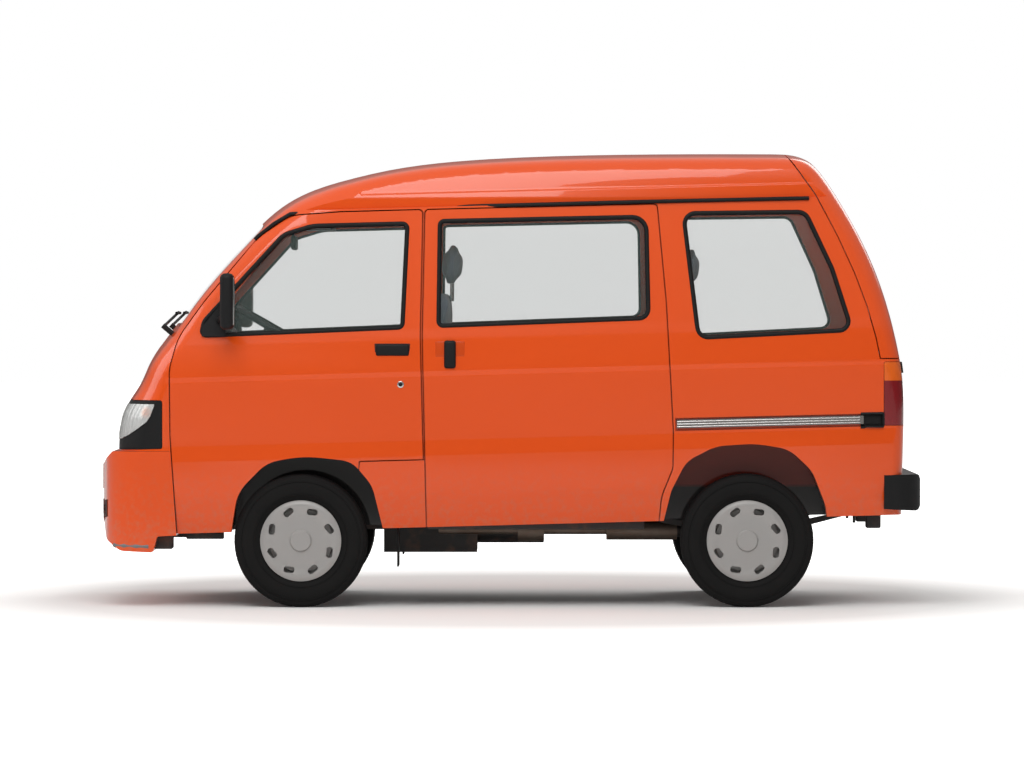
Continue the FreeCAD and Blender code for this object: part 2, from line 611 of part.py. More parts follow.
RAIL_Y = 308.0
RAIL_WIDTH = 44.0
RAIL_DEPTH = size("chassis_rail_height")
under_cab = CAB - SHEET
under_load = LOAD - SHEET
rail_side = [
    (FA + 498, under_cab, 0), (RA + 560, under_cab, 0), (RA + 380, under_load, 0),
    (REAR + 142, under_load, 0), (REAR + 142, under_load - 60, 0),
    (RA + 400, under_load - RAIL_DEPTH, 0), (RA + 540, under_cab - RAIL_DEPTH, 0),
    (FA + 498, under_cab - RAIL_DEPTH, 0),
]
rails = [side_prism(rail_side, RAIL_Y - RAIL_WIDTH, RAIL_Y)]
rails.append(mirrored(rails[0]))
cross_members = [
    box((x, -RAIL_Y, z - 29), (x + 60, RAIL_Y, z - 2))
    for x, z in ((FA + 432, under_cab), (FA - 1080, under_cab), (RA + 180, under_load),
                 (RA - 300, under_load), (REAR + 150, under_load))
]
nodes["chassis_frame"] = rails[0].fuse(rails[1:] + cross_members)

GEARBOX_AXIS = 325.0


def bound(kind, name, expressions, placement):
    """A primitive of the document with its sizes tied to the sheet."""
    item = doc.addObject(kind, name)
    for key, expression in expressions.items():
        item.setExpression(key, expression)
    item.Placement = placement
    return item


def fused(name, label, pieces):
    """A fusion of document objects under one label."""
    item = doc.addObject("Part::MultiFuse", name)
    item.Shapes = pieces
    item.Label = label
    return item


along_x = FreeCAD.Rotation(Vector(0, 1, 0), 90)
along_y = FreeCAD.Rotation(Vector(1, 0, 0), -90)
engine_block = bound(
    "Part::Box", "engine_block",
    {"Length": "sizes.wheelbase - 1440", "Width": "2 * 185", "Height": "sizes.cab_floor + 20"},
    FreeCAD.Placement(Vector(FA - 720, -185, 205), FreeCAD.Rotation()))
gearbox = bound(
    "Part::Cylinder", "gearbox", {"Radius": "88", "Height": "300"},
    FreeCAD.Placement(Vector(FA - 1000, 0, GEARBOX_AXIS), along_x))
fused("engine_unit", "engine", [engine_block, gearbox])

propshaft = bound(
    "Part::Cylinder", "propshaft_tube",
    {"Radius": "29", "Height": "sizes.wheelbase - 1000 - 117"},
    FreeCAD.Placement(Vector(RA + 115, 0, WHEEL_RADIUS + 8), FreeCAD.Rotation(
        Vector(0, 0, 1), Vector(1, 0, (GEARBOX_AXIS - WHEEL_RADIUS - 8) / 715))))
propshaft.Label = "propshaft"

# the tube ends 6 mm inside each wheel's hub face
axle_tube = bound(
    "Part::Cylinder", "axle_tube",
    {"Radius": "sizes.axle_tube_diameter / 2", "Height": "sizes.track - 52"},
    FreeCAD.Placement(Vector(RA, 26 - WHEEL_Y, WHEEL_RADIUS), along_y))
axle_stub = bound(
    "Part::Cylinder", "axle_stub",
    {"Radius": "sizes.hub_bore - sizes.bearing_gap", "Height": "sizes.track + 80"},
    FreeCAD.Placement(Vector(RA, -WHEEL_Y - 40, WHEEL_RADIUS), along_y))
differential = bound("Part::Sphere", "differential", {"Radius": "105"},
                     FreeCAD.Placement(Vector(RA, 0, WHEEL_RADIUS), FreeCAD.Rotation()))
fused("rear_axle_unit", "rear_axle", [axle_tube, axle_stub, differential])

SPRING_Y = 350.0
SPRING_WIDTH = 50.0
spring_top = WHEEL_RADIUS + size("axle_tube_diameter") / 2 + 16
spring_side = [
    (RA + 460, 376, 0), (RA + 200, spring_top + 14, 300), (RA - 200, spring_top + 14, 300),
    (RA - 470, 396, 0), (RA - 470, 380, 0), (RA - 200, spring_top - 14, 300),
    (RA + 200, spring_top - 14, 300), (RA + 460, 360, 0),
]
spring = side_prism(spring_side, SPRING_Y, SPRING_Y + SPRING_WIDTH)
for eye_x, eye_z in ((RA + 460, 368), (RA - 470, 388)):
    hanger = box((eye_x - 22, RAIL_Y - 8, eye_z - 20),
                 (eye_x + 22, SPRING_Y + SPRING_WIDTH, under_load - 8))
    spring = spring.fuse(hanger)
pad = box((RA - 45, SPRING_Y, WHEEL_RADIUS + 20), (RA + 45, SPRING_Y + SPRING_WIDTH, spring_top))
axle_seat = rod((RA, 0, WHEEL_RADIUS), (RA, WIDE, WHEEL_RADIUS), size("axle_tube_diameter") / 2)
spring = spring.fuse(pad).cut([rails[0], axle_seat])
nodes["leaf_springs"] = Part.makeCompound([spring, mirrored(spring)])

PIPE = size("exhaust_diameter") / 2
pipe_path = [
    (FA - 560, 206, 300), (FA - 800, 215, 300), (RA + 560, 215, 300), (RA + 280, 215, 318), (RA + 150, 215, 360),
    (RA - 160, 215, 360), (RA - 260, 215, 352), (REAR + 217, 215, 356),
]
pipes = [rod(start, end, PIPE) for start, end in zip(pipe_path, pipe_path[1:])]
pipes += [Part.makeSphere(PIPE, Vector(*point)) for point in pipe_path[1:-1]]
silencer = rod((RA + 275, 215, 300), (RA + 570, 215, 300), 42)
catalyst = rod((FA - 1000, 215, 300), (FA - 890, 215, 300), 48)
exhaust = pipes[0].fuse(pipes[1:] + [silencer, catalyst])
nodes["exhaust"] = exhaust.cut(rod((REAR + 300, 215, 356), (REAR + 210, 215, 356), PIPE - 3))

# --- front suspension, knuckles and wheels ---------------------------------------------------------

PIN_RADIUS = 10.0
PIN_LENGTH = 22.0


def arm(low, inner_x):
    """One transverse arm from the cross member to its ball at the knuckle."""
    outline = [
        (FA + inner_x, RAIL_Y - 60, 0), (FA + 24, KING_Y - 6, 0), (FA + 24, KING_Y + 20, 10),
        (FA - 24, KING_Y + 20, 10), (FA - 24, KING_Y - 6, 0), (FA - inner_x, RAIL_Y - 60, 0),
    ]
    eye = rod((FA, KING_Y, low - 1), (FA, KING_Y, low + ARM_THICKNESS + 1),
              PIN_RADIUS + size("bearing_gap"))
    return plan_prism(outline, low, low + ARM_THICKNESS).cut(eye)


arms = [arm(KNUCKLE_HIGH + ARM_GAP, 60), arm(KNUCKLE_LOW - ARM_GAP - ARM_THICKNESS, 130)]
member = box((FA - 60, -RAIL_Y + 30, KNUCKLE_LOW - ARM_GAP - ARM_THICKNESS - 6),
             (FA + 60, RAIL_Y - 30, KNUCKLE_LOW + 30))
towers = box((FA - 60, RAIL_Y - 90, KNUCKLE_LOW), (FA + 60, RAIL_Y - 30, KNUCKLE_HIGH + 40))
front_suspension = member.fuse(
    arms + [towers, mirrored(towers)] + [mirrored(piece) for piece in arms])
nodes["front_suspension"] = front_suspension.cut(nodes["chassis_frame"])

SPINDLE_END = WHEEL_Y + 44
upright = box((FA - 40, KING_Y - 20, KNUCKLE_LOW), (FA + 40, KING_Y + 14, KNUCKLE_HIGH))
steering_arm = box((FA - 118, KING_Y - 18, WHEEL_RADIUS - 46), (FA - 38, KING_Y - 4, WHEEL_RADIUS - 26))
knuckle = upright.fuse([
    steering_arm,
    rod((FA, KING_Y, WHEEL_RADIUS), (FA, SPINDLE_END, WHEEL_RADIUS),
        size("hub_bore") - size("bearing_gap")),
    rod((FA, KING_Y, KNUCKLE_LOW - PIN_LENGTH), (FA, KING_Y, KNUCKLE_LOW + 2), PIN_RADIUS),
    rod((FA, KING_Y, KNUCKLE_HIGH - 2), (FA, KING_Y, KNUCKLE_HIGH + PIN_LENGTH), PIN_RADIUS),
])
nodes["left_knuckle"] = knuckle
nodes["right_knuckle"] = mirrored(knuckle)

RIM = size("rim_diameter") / 2
BEAD = RIM - 15
BORE = size("hub_bore")
SECTION = size("tyre_width") / 2
TREAD = WHEEL_RADIUS
tyre_profile = [
    (BEAD + 0.5, -58), (BEAD + 17, -59.5), (RIM + 24, 3.5 - SECTION), (RIM + 59, -SECTION),
    (TREAD - 18, 5.5 - SECTION), (TREAD - 5, 17.5 - SECTION), (TREAD, 37.5 - SECTION),
    (TREAD, SECTION - 37.5), (TREAD - 5, SECTION - 17.5), (TREAD - 18, SECTION - 5.5),
    (RIM + 59, SECTION), (RIM + 24, SECTION - 3.5), (BEAD + 17, 59.5), (BEAD + 0.5, 58),
    (BEAD + 0.5, 48), (RIM + 49, SECTION - 12), (TREAD - 18, SECTION - 18),
    (TREAD - 11, SECTION - 38), (TREAD - 11, 38 - SECTION), (TREAD - 18, 18 - SECTION),
    (RIM + 49, 12 - SECTION), (BEAD + 0.5, -48),
]
rim_profile = [
    (RIM, -66), (RIM, -60.5), (BEAD, -60), (BEAD, -48), (RIM - 28, -36), (RIM - 28, 36),
    (BEAD, 48), (BEAD, 60), (RIM, 60.5), (RIM, 66), (RIM - 20, 66), (RIM - 22, 42),
    (RIM - 34, 32), (RIM - 36, 27), (62, 31), (58, 46), (BORE, 46), (BORE, -20), (54, -20),
    (56, 20), (RIM - 40, 17), (RIM - 34, -30), (RIM - 22, -42), (RIM - 20, -66),
]
cover_profile = [
    (0, 76), (40, 76), (46, 68), (RIM - 54, 66), (RIM - 20, 71), (RIM - 4, 67), (RIM - 4, 63),
    (RIM - 22, 66), (RIM - 54, 61), (44, 62), (38, 71), (0, 71),
]
SLOTS = 8
SLOT_RADIUS = RIM - 39
SLOT_LENGTH = 44.0
SLOT_WIDTH = 26.0
SLOT_TILT = 17.0

for axle_name, axle_x in (("front", FA), ("rear", RA)):
    centre = (axle_x, WHEEL_Y, WHEEL_RADIUS)
    wheel = lathe(rim_profile, centre).fuse(lathe(cover_profile, centre))
    slots = []
    for index in range(SLOTS):
        slot = Part.makeBox(SLOT_WIDTH, 20, SLOT_LENGTH,
                            Vector(-SLOT_WIDTH / 2, 0, -SLOT_LENGTH / 2))
        slot = slot.makeFillet(SLOT_WIDTH / 2 - 2, [
            edge for edge in slot.Edges if abs(edge.tangentAt(edge.FirstParameter).y) > 0.9])
        slot.rotate(Vector(0, 0, 0), Vector(0, 1, 0), SLOT_TILT)
        slot.translate(Vector(SLOT_RADIUS, 0, 0))
        slot.rotate(Vector(0, 0, 0), Vector(0, 1, 0), 23 + index * 360 / SLOTS)
        slot.translate(Vector(centre[0], WHEEL_Y + 55, centre[2]))
        slots.append(slot)
    wheel = wheel.cut(slots)
    tyre = lathe(tyre_profile, centre)
    nodes[f"{axle_name}_left_wheel"] = wheel
    nodes[f"{axle_name}_right_wheel"] = mirrored(wheel)
    nodes[f"{axle_name}_left_tyre"] = tyre
    nodes[f"{axle_name}_right_tyre"] = mirrored(tyre)

# --- wipers ------------------------------------------------------------------------------------

wipers = []
for pivot_y in (HALF - 200, -40.0):
    pivot = SCREEN_FOOT + screen_out * 6 + screen_up * 8 + Vector(0, pivot_y, 0)
    blade_end = pivot + screen_up * 64 - Vector(0, 470, 0) + screen_out * 20
    spindle = rod(tuple(pivot - screen_out * 50), tuple(pivot + screen_out * 22), 11)
    wipers.append(spindle.fuse([
        rod(tuple(pivot + screen_out * 16), tuple(blade_end + screen_out * 8), 6),
        rod(tuple(blade_end + Vector(0, 190, 0) + screen_out * 4),
            tuple(blade_end + Vector(0, -60, 0) + screen_out * 4), 6),
    ]).cut(outer))
nodes["wipers"] = Part.makeCompound(wipers)

# --- the document's own objects, checked and written ------------------------------------------------

SLIVER = 1000.0  # volume under which a solid left by a cut isn't a piece


def pieces_of(shape):
    """The solids of a shape, without the slivers that cuts leave."""
    solids = [solid for solid in shape.Solids if solid.Volume > SLIVER]
    return solids[0] if len(solids) == 1 else Part.makeCompound(solids)


for label, shape in nodes.items():
    feature = doc.addObject("Part::Feature", label)
    feature.Shape = pieces_of(shape)
    feature.Label = label
doc.recompute()

pieces = {item.Label: item for item in doc.Objects if item.Label in nodes}
for label in ("engine", "propshaft", "rear_axle"):
    pieces[label] = doc.getObjectsByLabel(label)[0]
for item in doc.Objects:
    if "Invalid" in item.State or "Error" in item.State:
        raise RuntimeError(f"{item.Label} failed")
os.makedirs("parts", exist_ok=True)
for label, item in pieces.items():
    if item.Shape.isNull() or not item.Shape.isValid():
        raise RuntimeError(f"{label} is not a valid shape")
for label, item in pieces.items():
    item.Shape.exportStep(f"parts/{label}.step")
    print(label, len(item.Shape.Solids), round(item.Shape.Volume / 1e6, 2))
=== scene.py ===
# A small glazed cab-over van with a raised roof, dressed over its packed construction: painted
# panels, rubber seals, lamps, wheels, cabin and running gear.
import json
import math

import bmesh
import bpy
from mathutils import Matrix, Vector
from mathutils.bvhtree import BVHTree


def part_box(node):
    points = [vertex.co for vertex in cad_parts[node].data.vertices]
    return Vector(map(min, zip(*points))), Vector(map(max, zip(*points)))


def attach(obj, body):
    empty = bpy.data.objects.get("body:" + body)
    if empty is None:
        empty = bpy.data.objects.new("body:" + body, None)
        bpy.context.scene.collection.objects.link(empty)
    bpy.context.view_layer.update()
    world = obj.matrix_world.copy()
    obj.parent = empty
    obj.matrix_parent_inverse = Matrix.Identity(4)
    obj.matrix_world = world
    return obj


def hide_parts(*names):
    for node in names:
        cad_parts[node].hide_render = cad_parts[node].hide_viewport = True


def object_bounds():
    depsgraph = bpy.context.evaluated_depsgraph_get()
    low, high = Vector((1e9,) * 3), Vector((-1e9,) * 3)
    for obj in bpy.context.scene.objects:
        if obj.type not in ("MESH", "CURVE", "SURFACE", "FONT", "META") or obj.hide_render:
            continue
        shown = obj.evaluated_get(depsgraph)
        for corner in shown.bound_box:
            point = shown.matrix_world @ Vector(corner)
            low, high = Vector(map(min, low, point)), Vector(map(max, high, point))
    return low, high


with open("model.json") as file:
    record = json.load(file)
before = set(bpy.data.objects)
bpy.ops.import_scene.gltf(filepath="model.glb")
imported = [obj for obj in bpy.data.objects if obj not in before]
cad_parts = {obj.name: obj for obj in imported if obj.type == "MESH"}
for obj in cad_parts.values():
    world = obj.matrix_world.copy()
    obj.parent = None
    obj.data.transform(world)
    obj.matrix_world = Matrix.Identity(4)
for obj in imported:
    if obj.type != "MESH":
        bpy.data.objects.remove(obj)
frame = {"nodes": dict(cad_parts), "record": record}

cad_bounds = [list(corner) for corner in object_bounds()]
nodes = frame["nodes"]
VAN = "van_body"
SIDES = (("left", 1), ("right", -1))

# ---- Studio -------------------------------------------------------------------------------
# A pale floor, an even sky and three large soft lamps; the camera stands far off the van's left
# side, just below the belt line, and looks square at it.

bpy.ops.mesh.primitive_plane_add(size=120, location=(0, 0, 0))
floor = bpy.context.object
floor.name = "studio_floor"
world = bpy.data.worlds.new("studio_sky")
bpy.context.scene.world = world
world.use_nodes = True
sky = world.node_tree
glow = sky.nodes["Background"]
glow.inputs["Color"].default_value = (1.0, 0.99, 0.98, 1)
direction = sky.nodes.new("ShaderNodeTexCoord")
split = sky.nodes.new("ShaderNodeSeparateXYZ")
sky.links.new(direction.outputs["Generated"], split.inputs[0])
rise = sky.nodes.new("ShaderNodeMapRange")
for socket, value in (("From Min", 0.05), ("From Max", 0.75), ("To Min", 0.10), ("To Max", 0.80)):
    rise.inputs[socket].default_value = value
sky.links.new(split.outputs["Z"], rise.inputs[0])
sky.links.new(rise.outputs[0], glow.inputs["Strength"])
backdrop = sky.nodes.new("ShaderNodeBackground")
rays = sky.nodes.new("ShaderNodeLightPath")
seen = sky.nodes.new("ShaderNodeMath")
seen.operation = "MAXIMUM"
sky.links.new(rays.outputs["Is Camera Ray"], seen.inputs[0])
sky.links.new(rays.outputs["Is Transmission Ray"], seen.inputs[1])
choice = sky.nodes.new("ShaderNodeMixShader")
sky.links.new(seen.outputs[0], choice.inputs[0])
sky.links.new(glow.outputs[0], choice.inputs[1])
sky.links.new(backdrop.outputs[0], choice.inputs[2])
backdrop.inputs["Color"].default_value = (1, 1, 1, 1)
sky.links.new(choice.outputs[0], sky.nodes["World Output"].inputs["Surface"])
LAMPS_AIM = Vector((0, 0, 0.8))
for name, place, width, power in (
        ("lamp_above_side", (1.0, 6.5, 7.0), 5.0, 400),
        ("lamp_front", (8.0, 1.0, 4.5), 4.0, 130),
        ("lamp_behind", (-4.5, -7.0, 5.5), 5.0, 200)):
    bpy.ops.object.light_add(type="AREA", location=place)
    lamp = bpy.context.object
    lamp.name = name
    lamp.data.size = width
    lamp.data.energy = power
    towards = LAMPS_AIM - Vector(place)
    lamp.rotation_euler = towards.to_track_quat("-Z", "Y").to_euler()
bpy.context.scene.view_settings.view_transform = "Standard"

HALF_WIDTH = 0.697
SIDE_DISTANCE = 22.5
EYE_HEIGHT = 1.26
EYE_TILT = 0.875
bpy.ops.object.camera_add(
    location=(-0.016, HALF_WIDTH + SIDE_DISTANCE, EYE_HEIGHT),
    rotation=(math.radians(90 - EYE_TILT), 0, math.pi))
camera = bpy.context.object
camera.data.lens = 193.4
camera.data.clip_end = 200
bpy.context.scene.camera = camera

# ---- Paint, and the panels that carry it --------------------------------------------------
# Pressed steel, primed and sprayed gloss orange under a clear coat, with the faint ripple of
# sprayed paint and road dust on the lowest edges.


class Term:
    """A socket that can be used in arithmetic: each operator adds a Math node."""

    def __init__(self, finish, socket):
        self.finish = finish
        self.socket = socket

    def maths(self, operation, *terms):
        return self.finish.add("ShaderNodeMath", {"operation": operation}, dict(enumerate(terms)))

    def __add__(self, other):
        return self.maths("ADD", self, other)

    def __radd__(self, other):
        return self.maths("ADD", other, self)

    def __sub__(self, other):
        return self.maths("SUBTRACT", self, other)

    def __rsub__(self, other):
        return self.maths("SUBTRACT", other, self)

    def __mul__(self, other):
        return self.maths("MULTIPLY", self, other)

    def __rmul__(self, other):
        return self.maths("MULTIPLY", other, self)

    def clipped(self, low, high):
        """0 below low, 1 above high, straight between."""
        settings = {"clamp": True}
        return self.finish.add("ShaderNodeMapRange", settings, {0: self, 1: low, 2: high})


class Finish:
    """One material, built node by node on its principled shader."""

    def __init__(self, name, colour, roughness, metallic=0.0, **fixed):
        self.material = bpy.data.materials.new(name)
        self.material.use_nodes = True
        self.tree = self.material.node_tree
        self.shader = self.tree.nodes["Principled BSDF"]
        self.colour = (*colour, 1.0)
        self.set("Base Color", self.colour)
        self.set("Roughness", roughness)
        self.set("Metallic", metallic)
        for socket, value in fixed.items():
            self.set(socket.replace("_", " "), value)

    def add(self, kind, settings, values, output=0):
        """Adds any node: its settings first, then the values or links of its sockets."""
        node = self.tree.nodes.new(kind)
        for name, value in settings.items():
            setattr(node, name, value)
        for key, value in values.items():
            if isinstance(value, Term):
                self.tree.links.new(value.socket, node.inputs[key])
            else:
                node.inputs[key].default_value = value
        return Term(self, node.outputs[output])

    def set(self, socket, value):
        if isinstance(value, Term):
            self.tree.links.new(value.socket, self.shader.inputs[socket])
        else:
            self.shader.inputs[socket].default_value = value

    def place(self):
        return self.add("ShaderNodeTexCoord", {}, {}, "Object")

    def height(self):
        return self.add("ShaderNodeSeparateXYZ", {}, {0: self.place()}, 2)

    def noise(self, scale, detail=3.0, stretch=(1, 1, 1)):
        moved = self.add("ShaderNodeMapping", {}, {"Vector": self.place(), "Scale": stretch})
        return self.add("ShaderNodeTexNoise", {},
                        {"Vector": moved, "Scale": scale, "Detail": detail})

    def mix(self, factor, first, second):
        """A mix of two colours."""
        return self.add("ShaderNodeMix", {"data_type": "RGBA"},
                        {0: factor, 6: first, 7: second}, 2)

    def bump(self, height, strength, distance):
        normal = self.add("ShaderNodeBump", {},
                          {"Strength": strength, "Distance": distance, "Height": height})
        self.set("Normal", normal)


def shade(colour, factor):
    """A colour made darker or lighter, with its alpha kept."""
    return tuple(channel * factor for channel in colour[:3]) + (1.0,)


PAINT = (0.72, 0.073, 0.003)
DUST = (0.36, 0.20, 0.12, 1.0)


def painted(name, colour, roughness):
    """Sprayed gloss paint in one colour."""
    paint = Finish(name, colour, roughness, Coat_Weight=0.6, Coat_Roughness=0.03,
                   Specular_IOR_Level=0.25)
    cloud = paint.noise(1.7, 2.0)
    tone = paint.mix(cloud * 0.35, paint.colour, shade(paint.colour, 0.88))
    speckle = paint.noise(46.0, 4.0).clipped(0.45, 0.75)
    low = 1 - paint.height().clipped(0.30, 0.62)
    dusty = low * speckle * 0.30
    paint.set("Base Color", paint.mix(dusty, tone, DUST))
    paint.set("Roughness", dusty * 0.5 + roughness)
    paint.bump(paint.noise(260.0, 2.0), 0.05, 0.002)
    return paint


paint = painted("gloss_orange_paint", PAINT, 0.28)
# Painted shade: the orange darkened to 0.8 for the sliding doors' handle dishes, as they look in
# shade.
dish_shade_paint = painted("handle_dish_shaded_paint", tuple(channel * 0.8 for channel in PAINT), 0.3)


def select_only(piece):
    """Makes a piece the one selected and active object."""
    bpy.ops.object.select_all(action="DESELECT")
    piece.select_set(True)
    bpy.context.view_layer.objects.active = piece


def dressed(node, finish, crease=32.0):
    """A welded, smooth copy of a node in its finish, which then stands for the node."""
    source = nodes[node]
    copy = source.copy()
    copy.data = source.data.copy()
    for key in list(copy.keys()):
        del copy[key]
    copy.name = f"{node}_finished"
    copy.parent = None
    bpy.context.scene.collection.objects.link(copy)
    select_only(copy)
    bpy.ops.object.mode_set(mode="EDIT")
    bpy.ops.mesh.select_all(action="SELECT")
    bpy.ops.mesh.remove_doubles(threshold=0.00002)
    bpy.ops.object.mode_set(mode="OBJECT")
    if copy.data.has_custom_normals:
        bpy.ops.mesh.customdata_custom_splitnormals_clear()
    bpy.ops.object.shade_smooth_by_angle(angle=math.radians(crease))
    copy.data.materials.clear()
    copy.data.materials.append(finish.material)
    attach(copy, frame_body(node))
    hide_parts(node)
    return copy


def frame_body(node):
    """The body that a node belongs to."""
    for body, members in frame["record"]["behaviour"]["bodies"].items():
        if node in members:
            return body
    return VAN


PAINTED = ["left_side_panel", "right_side_panel", "rear_lower_panel", "front_panel", "roof",
           "left_sliding_door", "right_sliding_door", "front_bumper", "left_front_door",
           "right_front_door", "tailgate"]
for node in PAINTED:
    dressed(node, paint)

# ---- Glass --------------------------------------------------------------------------------
# Green-tinted float glass, clear and mirror smooth.

glass = Finish("tinted_glass", (0.20, 0.26, 0.24), 0.02, Alpha=0.12, Specular_IOR_Level=0.5)
glass.set("Roughness", glass.noise(3.0, 2.0) * 0.03 + 0.01)
for node in ("windscreen", "side_glass", "left_front_door_glass", "right_front_door_glass",
             "tailgate_glass"):
    dressed(node, glass)

# ---- Plain finishes of the running gear and trim --------------------------------------------
# Grained plastic, rubber, cast and pressed iron and lacquered wheels, each with its own fine
# grain or patches of wear, and the lamps' coloured lenses.

black = Finish("grained_black_plastic", (0.008, 0.008, 0.0085), 0.5, Specular_IOR_Level=0.2)
black.bump(black.noise(900.0, 2.0), 0.25, 0.0006)
black.set("Roughness", black.noise(20.0) * 0.2 + 0.42)
rubber = Finish("seal_rubber", (0.006, 0.006, 0.006), 0.6, Specular_IOR_Level=0.2)
rubber.set("Roughness", rubber.noise(30.0) * 0.2 + 0.45)
rubber.bump(rubber.noise(400.0, 2.0), 0.1, 0.0005)
chassis = Finish("chassis_black", (0.028, 0.026, 0.025), 0.6)
rust = chassis.noise(14.0, 5.0).clipped(0.55, 0.75)
chassis.set("Base Color", chassis.mix(rust * 0.6, chassis.colour, (0.12, 0.06, 0.035, 1)))
chassis.bump(chassis.noise(90.0, 4.0), 0.3, 0.001)
silver = Finish("wheel_silver", (0.36, 0.35, 0.34), 0.36, 0.35)
silver.set("Roughness", silver.noise(24.0) * 0.2 + 0.3)
silver.bump(silver.noise(700.0, 2.0), 0.06, 0.0004)
tread = Finish("tyre_rubber", (0.007, 0.007, 0.0072), 0.75, Specular_IOR_Level=0.12)
worn_tread = (0.014, 0.013, 0.012, 1)
tread.set("Base Color", tread.mix(tread.noise(9.0, 4.0) * 0.5, tread.colour, worn_tread))
tread.bump(tread.noise(160.0, 3.0), 0.2, 0.001)
dash = Finish("dash_grey", (0.10, 0.105, 0.11), 0.6)
dash.bump(dash.noise(700.0, 2.0), 0.25, 0.0006)
cloth = Finish("seat_cloth", (0.10, 0.12, 0.16), 0.9, Sheen_Weight=0.3)
cloth.set("Base Color", cloth.mix(cloth.noise(300.0, 2.0), cloth.colour, (0.16, 0.18, 0.23, 1)))
steel = Finish("exhaust_steel", (0.22, 0.19, 0.16), 0.5, 0.8)
steel.set("Base Color", steel.mix(steel.noise(12.0, 4.0), steel.colour, (0.12, 0.07, 0.045, 1)))
rail_metal = Finish("rail_metal", (0.22, 0.21, 0.20), 0.3, 0.7)
rail_metal.set("Roughness", rail_metal.noise(60.0, 2.0, (1, 1, 20)) * 0.2 + 0.2)
# The wheel housings: towards the rear and above 0.5 m a dark red, painted shade of the orange as it
# looks deep in the arch; elsewhere black sealer.
arch_shaded_paint = painted("wheel_arch_shaded_paint", (0.20, 0.02, 0.006), 0.5)
along = arch_shaded_paint.add("ShaderNodeSeparateXYZ", {}, {0: arch_shaded_paint.place()}, 0)
behind = 1 - along.clipped(-0.1, 0.1)
shaded_red_share = arch_shaded_paint.height().clipped(0.485, 0.50) * behind
sealed_black = (0.012, 0.011, 0.011, 1)
arch_shaded_paint.set("Base Color", arch_shaded_paint.mix(shaded_red_share, sealed_black, arch_shaded_paint.colour))
lamp_red = Finish("tail_lens", (0.20, 0.008, 0.010), 0.12, Coat_Weight=0.3)
amber = lamp_red.height().clipped(0.929, 0.932)
lamp_red.set("Base Color", lamp_red.mix(amber, (0.19, 0.006, 0.009, 1), (0.72, 0.12, 0.01, 1)))
lens = Finish("clear_lens", (0.75, 0.76, 0.76), 0.05, Alpha=0.25, Coat_Weight=0.5)
for node, finish, slot in (
        ("headlights", black, "black_plastic"), ("tail_lights", lamp_red, "lamp_red"),
        ("slide_rails", rail_metal, "rail_metal"), ("rear_bumper", black, "black_plastic"),
        ("steering_wheel", black, "black_plastic"), ("wipers", black, "black_plastic"),
        ("dashboard", dash, "dash_grey"), ("floor_pan", chassis, "under_paint"),
        ("wheel_housings", arch_shaded_paint, "under_paint"),
        ("chassis_frame", chassis, "chassis_black"), ("leaf_springs", chassis, "chassis_black"),
        ("front_suspension", chassis, "chassis_black"), ("rear_axle", chassis, "chassis_black"),
        ("propshaft", chassis, "chassis_black"), ("left_knuckle", chassis, "chassis_black"),
        ("right_knuckle", chassis, "chassis_black"), ("exhaust", steel, "exhaust_steel"),
        ("engine", chassis, "engine_iron"),
        ("front_left_wheel", silver, "wheel_silver"), ("front_right_wheel", silver, "wheel_silver"),
        ("rear_left_wheel", silver, "wheel_silver"), ("rear_right_wheel", silver, "wheel_silver"),
        ("front_left_tyre", tread, "tyre"), ("front_right_tyre", tread, "tyre"),
        ("rear_left_tyre", tread, "tyre"), ("rear_right_tyre", tread, "tyre")):
    dressed(node, finish)

# ---- Rubber seals around the panes ----------------------------------------------------------
# Each fixed pane is held by a black rubber section, about 20 mm wide, that laps the glass and
# the panel edge and follows the panel's own curve. FA and RA are the axles' places along the van,
# and RAKE is how far the body's lines rise towards the rear, per length.

RAKE = 0.0262
SIDE_SECTION = ((0.338, 0.664), (0.385, 0.676), (0.478, 0.690), (0.632, 0.6955), (0.694, 0.6905),
                (0.955, 0.697), (0.977, 0.692), (1.108, 0.684), (1.150, 0.676), (1.650, 0.604))
BELT = 1.108
ROOF = round(cad_bounds[1][2], 3)
hubs = {joint["name"]: joint["pos_m"] for joint in frame["record"]["behaviour"]["joints"]}
FA = hubs["front_left_spin"][0]
RA = hubs["rear_left_spin"][0]


def read_off(table, place):
    """The value at a place in a table of (place, value) rows, straight between the rows."""
    for (low, first), (high, second) in zip(table, table[1:]):
        if place <= high:
            return first + (second - first) * (place - low) / (high - low)
    return table[-1][1]


def side_width(x, z):
    """How far the van's side stands from its middle plane."""
    return read_off(SIDE_SECTION, z + RAKE * x)


def rounded(corners, steps=6):
    """Points round a closed outline of (a, b, radius) corners, each corner an arc."""
    points = []
    count = len(corners)
    for index, (a, b, radius) in enumerate(corners):
        corner = Vector((a, b))
        back = (Vector(corners[index - 1][:2]) - corner).normalized()
        ahead = (Vector(corners[(index + 1) % count][:2]) - corner).normalized()
        half = back.angle(ahead) / 2
        reach = radius / math.tan(half)
        centre = corner + (back + ahead).normalized() * (radius / math.sin(half))
        start = corner + back * reach - centre
        turn = start.angle_signed(corner + ahead * reach - centre)
        for step in range(steps + 1):
            points.append(centre + Matrix.Rotation(-turn * step / steps, 2) @ start)
    return points


def strip(name, points, radius, finish, body, closed=True):
    """A rubber or metal section run along points."""
    line = bpy.data.curves.new(name, "CURVE")
    line.dimensions = "3D"
    spline = line.splines.new("POLY")
    spline.points.add(len(points) - 1)
    for point, place in zip(spline.points, points):
        point.co = (*place, 1)
    spline.use_cyclic_u = closed
    line.bevel_depth = radius
    line.bevel_resolution = 3
    line.use_fill_caps = not closed
    piece = bpy.data.objects.new(name, line)
    bpy.context.scene.collection.objects.link(piece)
    select_only(piece)
    bpy.ops.object.convert(target="MESH")
    bpy.ops.object.shade_smooth_by_angle(angle=math.radians(50))
    piece = bpy.context.object
    piece.data.materials.clear()
    piece.data.materials.append(finish.material)
    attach(piece, body)
    return piece


